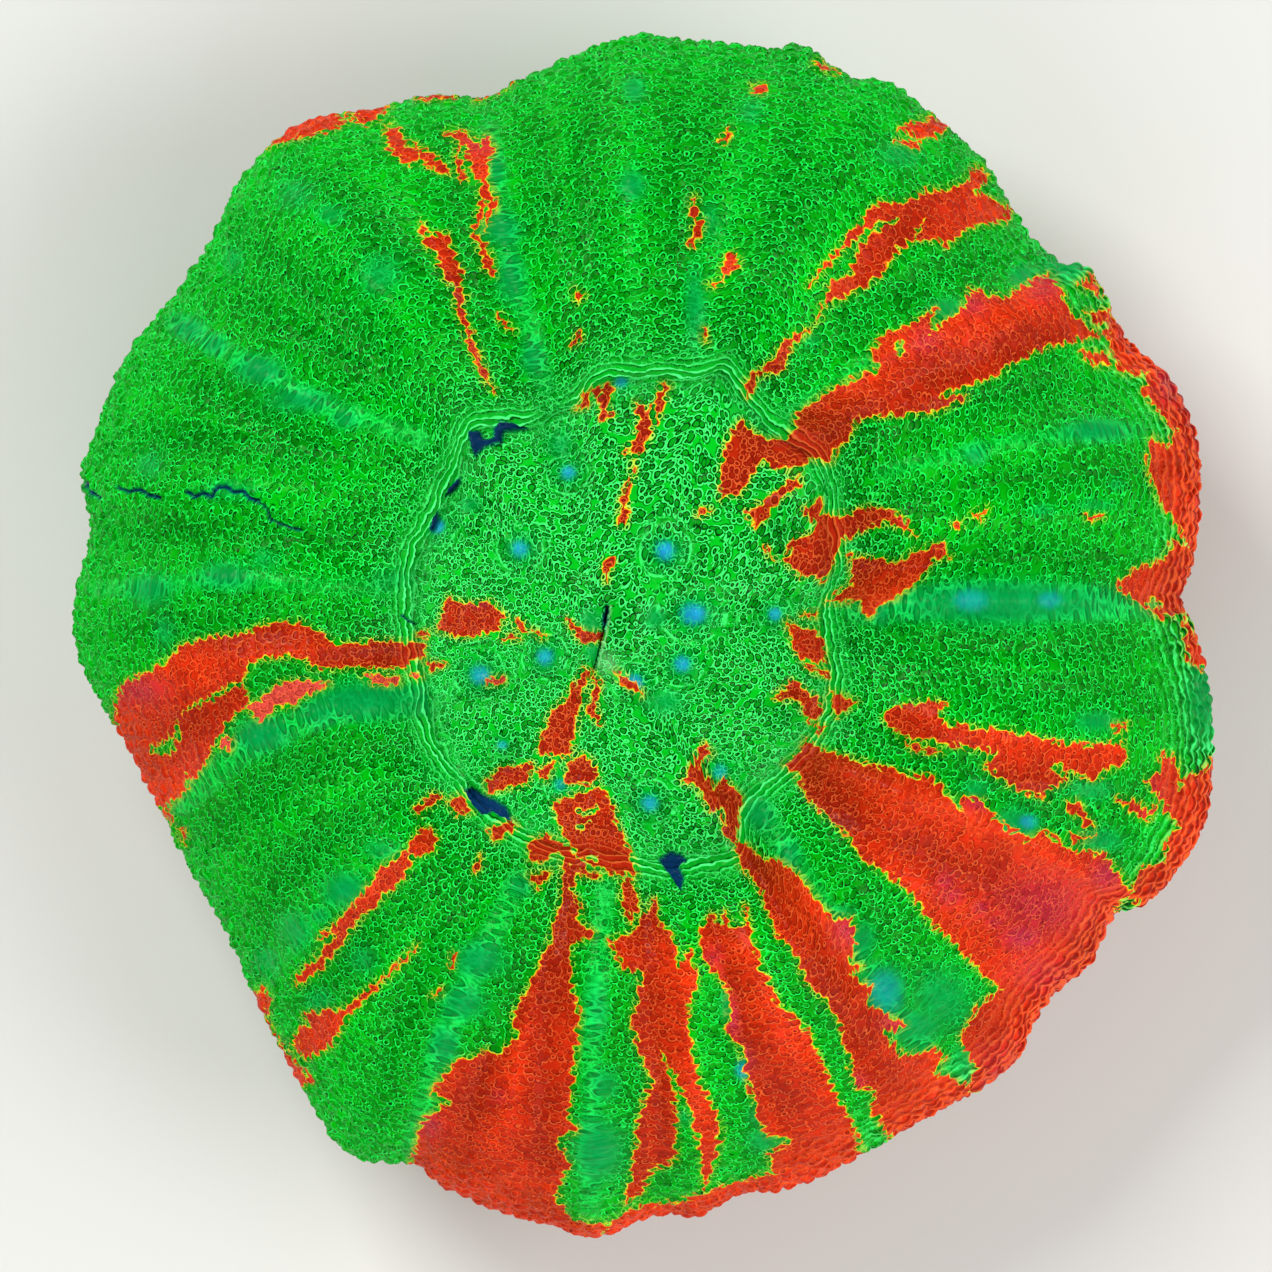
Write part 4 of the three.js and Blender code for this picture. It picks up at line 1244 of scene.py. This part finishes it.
def skin_values(skin, ray, places, patterns, fold_arc, wrapped):
    """What the flesh's markings are at each point, as its material reads them."""
    step = skin["step"]
    below = step > MARGIN_STATION
    on_disc = skin["from_fold"] < 0
    fold = FOLD_RADIUS(skin["angle"])
    out = (skin["radius"] - fold) / (OUTLINE_RADIUS(skin["angle"]) - fold)
    at_fold = bell(skin["radius"] - fold, 2.2) * (step < MARGIN_STATION)
    on_margin = smooth(0.84, 0.98, out) * (step > LIP_STATION)
    on_margin = np.where(below, 1, on_margin) * skin["flesh"]

    red, way, pink = red_field(places)
    way *= np.where(below, 0.5, 1.0)[:, None]
    way, over = ways_among_cells(skin, ray, fold_arc, wrapped, way)
    teal = spots(places, TEAL)
    wrinkled = 0.75 * smooth(0.55, 0.95, skin["crest"]) + 0.3 * at_fold + 1.2 * teal - 0.1
    wrinkled = np.clip(wrinkled, 0, 1) * np.where(red > 0, 0.3, 1.0)
    halo = radii_away(places, BLUE)
    phase, lined = stripes(skin, ray, out, on_margin, halo, patterns)
    from_mouth = np.hypot(*(places - MOUTH).T)
    lip = 0.85 * bell(distance_to(np.array(MOUTH_RIGHT_LIP, float), places), 0.9)
    lip = np.maximum(lip, spots(places, [LIP_SPOT]))
    return {
        "red": red,
        "way": way,
        "over": over,
        "pink": pink,
        "magenta": spots(places, MAGENTA),
        "teal": np.maximum(teal, 0.55 * bell(halo, 1.9) * on_disc),
        "blue": np.where(below, 0, spots(places, BLUE, 1.8)),
        # painted shade in the torn places and the mouth's opening
        "navy": np.where(below, 0, navy_field(places)),
        "pale": np.maximum(0.85 * bell(from_mouth, 150), 0.65 * (1 - smooth(-0.05, 0.25, out))),
        "outer": 0.55 + 0.45 * smooth(0.0, 0.35, out),
        "arched": smooth(0.05, 0.3, out),
        # painted shade: the ridges' grooves and the hollow under the fold
        "valley": np.maximum(skin["valley"], bell(skin["from_fold"] - 0.5, 0.6)),
        "phase": phase,
        "lined": lined,
        "lip": lip * on_disc,
        "bead": patterns["bead"],
        "stretched": patterns["stretched"],
        "patchy": 0.75 + 0.25 * smooth(0.35, 0.6, patterns["patchy"]),
        "shade": patterns["shade"],
        "wrinkled": wrinkled,
        "marginal": on_margin,
    }


def skin_lift(skin, places, patterns, values):
    """How far each point stands out from the solid's own shape, in millimetres."""
    step = skin["step"]
    wrinkled = values["wrinkled"]
    lift = BLISTER_HEIGHT * dome(patterns["blister"]) * (1 - wrinkled)
    lift += STRETCHED_HEIGHT * dome(patterns["stretched"]) * wrinkled
    softer = np.where(values["red"] > 0, 0.6, 1.0)
    lift = lift * softer * (1 - 0.7 * values["blue"]) * (step < MARGIN_STATION)
    lift += BEAD_HEIGHT * dome(patterns["bead"]) * values["marginal"]
    lift += LINE_HEIGHT * (0.5 - 0.5 * np.cos(TURN * values["phase"])) * values["lined"]
    lift += SWELL_HEIGHT * (patterns["swell"] - 0.5) * skin["flesh"] * smooth(0.2, 1, skin["radius"] / 8)
    lift -= CRACK_DEPTH * values["navy"] * (np.hypot(*(places - MOUTH).T) > MOUTH_CLEAR)
    bare = (1 - skin["flesh"]) * (step < FOOT_STATION)
    grain = GRAIN_HEIGHT * (patterns["grain"] - 0.5)
    return lift + bare * (FINE_RIB_DEPTH * ribbing(FINE_RIBS, skin["angle"]) + grain)


def coral_fields():
    """The whole fine skin: points, triangles, normals, what its materials read, and steps."""
    skin, faces = build_skin()
    points = add_solid_relief(skin)
    points[:, 2] += mouth_closing(points) * (skin["disc"] > 0)
    normals = vertex_normals(points, faces)
    step = skin["step"]
    skin["flesh"] = 1 - smooth(SKIRT_STATION - 0.3, SKIRT_STATION, step)
    ray = np.stack([np.cos(skin["angle"]), np.sin(skin["angle"])], -1)
    places = marking_places(skin, points, ray)
    fold_arc = np.maximum(skin["arc"] - skin["from_fold"], 1)
    skin_place, wrapped = cell_places(skin, ray, fold_arc)
    flow_place = np.column_stack([ray * (STRETCHED_TURN / TURN), skin["arc"] / STRETCHED_STEP])
    patterns = pattern_values(points, skin_place, flow_place)
    values = skin_values(skin, ray, places, patterns, fold_arc, wrapped)
    values |= {
        "skin": skin_place,
        "rib": 0.6 * ribbing(RIBS, skin["angle"]) + 0.4 * ribbing(FINE_RIBS, skin["angle"]),
        "stain": bell(step - SKIRT_STATION, 0.8),
    }
    points = points + normals * skin_lift(skin, places, patterns, values)[:, None]
    points[:, 2] = np.where(step >= FOOT_STATION, 0, np.maximum(points[:, 2], 0))
    return points, faces, vertex_normals(points, faces), values, step


def make_piece(name, faces, points, normals, values, material):
    used, indices = np.unique(faces, return_inverse=True)
    indices = indices.ravel().astype(np.int32)
    mesh = bpy.data.meshes.new(name)
    mesh.vertices.add(len(used))
    mesh.vertices.foreach_set("co", (points[used] * MM).astype(np.float32).ravel())
    mesh.loops.add(len(indices))
    mesh.polygons.add(len(faces))
    mesh.polygons.foreach_set("loop_start", np.arange(0, len(indices), 3, dtype=np.int32))
    mesh.polygons.foreach_set("vertices", indices)
    mesh.update(calc_edges=True)
    mesh.shade_smooth()
    mesh.normals_split_custom_set_from_vertices(normals[used].astype(np.float32))
    for value_name, value in values.items():
        add_attribute(mesh, value_name, value[used])
    mesh.materials.append(material)
    piece = bpy.data.objects.new(name, mesh)
    bpy.context.scene.collection.objects.link(piece)
    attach(piece, "root")
    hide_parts(NODE)
    return piece


def build_coral():
    """The skin as pieces small enough to carry, which share their points along their borders."""
    points, faces, normals, values, step = coral_fields()
    middle_step = step[faces].mean(1)
    centre = points[faces].mean(1)[:, :2] - MOUTH_PLACE
    sector = (np.arctan2(centre[:, 1], centre[:, 0]) % TURN / TURN * SECTORS).astype(int)
    flesh = flesh_material()
    skeleton = skeleton_material()
    on_disc = middle_step < FOLD_STATION
    on_mantle = ~on_disc & (middle_step < MARGIN_STATION)
    under = (middle_step >= MARGIN_STATION) & (middle_step < SKIRT_STATION)
    parts = [("oral_disc", on_disc, "flesh"), ("margin_underside", under, "flesh")]
    parts += [(f"mantle_{k + 1}", on_mantle & (sector == k), "flesh") for k in range(SECTORS)]
    parts += [("foot", middle_step >= SKIRT_STATION, "skeleton")]
    for name, chosen, slot in parts:
        material = flesh if slot == "flesh" else skeleton
        make_piece(name, faces[chosen], points, normals, values, material)


def look_at(thing, target):
    thing.rotation_euler = (Vector(target) - thing.location).to_track_quat("-Z", "Y").to_euler()


def add_softbox(name, place, size, power, target):
    light = bpy.data.lights.new(name, "AREA")
    light.shape = "SQUARE"
    light.size = size
    light.energy = power
    lamp = bpy.data.objects.new(name, light)
    lamp.location = place
    bpy.context.scene.collection.objects.link(lamp)
    look_at(lamp, target)


def add_studio():
    """A pale floor, softboxes and an even sky."""
    corners = [(-FLOOR_HALF, -FLOOR_HALF, 0), (FLOOR_HALF, -FLOOR_HALF, 0)]
    corners += [(FLOOR_HALF, FLOOR_HALF, 0), (-FLOOR_HALF, FLOOR_HALF, 0)]
    mesh = bpy.data.meshes.new("floor")
    mesh.from_pydata(corners, [], [(0, 1, 2, 3)])
    material = bpy.data.materials.new("floor")
    material.use_nodes = True
    shader = material.node_tree.nodes["Principled BSDF"]
    shader.inputs["Base Color"].default_value = linear(FLOOR_PALE)
    shader.inputs["Roughness"].default_value = FLOOR_ROUGHNESS
    mesh.materials.append(material)
    floor = bpy.data.objects.new("floor", mesh)
    bpy.context.scene.collection.objects.link(floor)
    for name, place, size, power in SOFTBOXES:
        add_softbox(name, place, size, power, (0, 0, DISC_HEIGHT * MM))
    world = bpy.data.worlds.new("studio")
    world.use_nodes = True
    sky = world.node_tree.nodes["Background"]
    sky.inputs["Color"].default_value = (1, 1, 1, 1)
    sky.inputs["Strength"].default_value = SKY_STRENGTH
    bpy.context.scene.world = world
    bpy.context.scene.view_settings.view_transform = "Standard"


def add_camera():
    """Straight above, so far that the plan is hardly skewed, with the photographed frame."""
    camera = bpy.data.cameras.new("camera")
    camera.sensor_width = SENSOR
    camera.lens = SENSOR * CAMERA_DISTANCE / FRAME_WIDTH
    camera.clip_start = 0.01
    holder = bpy.data.objects.new("camera", camera)
    across = (FRAME_PIXELS / 2 - PLAN_CENTRE[0]) * SCALE * MM
    along = (PLAN_CENTRE[1] - FRAME_PIXELS / 2) * SCALE * MM
    holder.location = (across, along, MARGIN_HEIGHT * MM + CAMERA_DISTANCE)
    bpy.context.scene.collection.objects.link(holder)
    bpy.context.scene.camera = holder


build_coral()
add_studio()
add_camera()
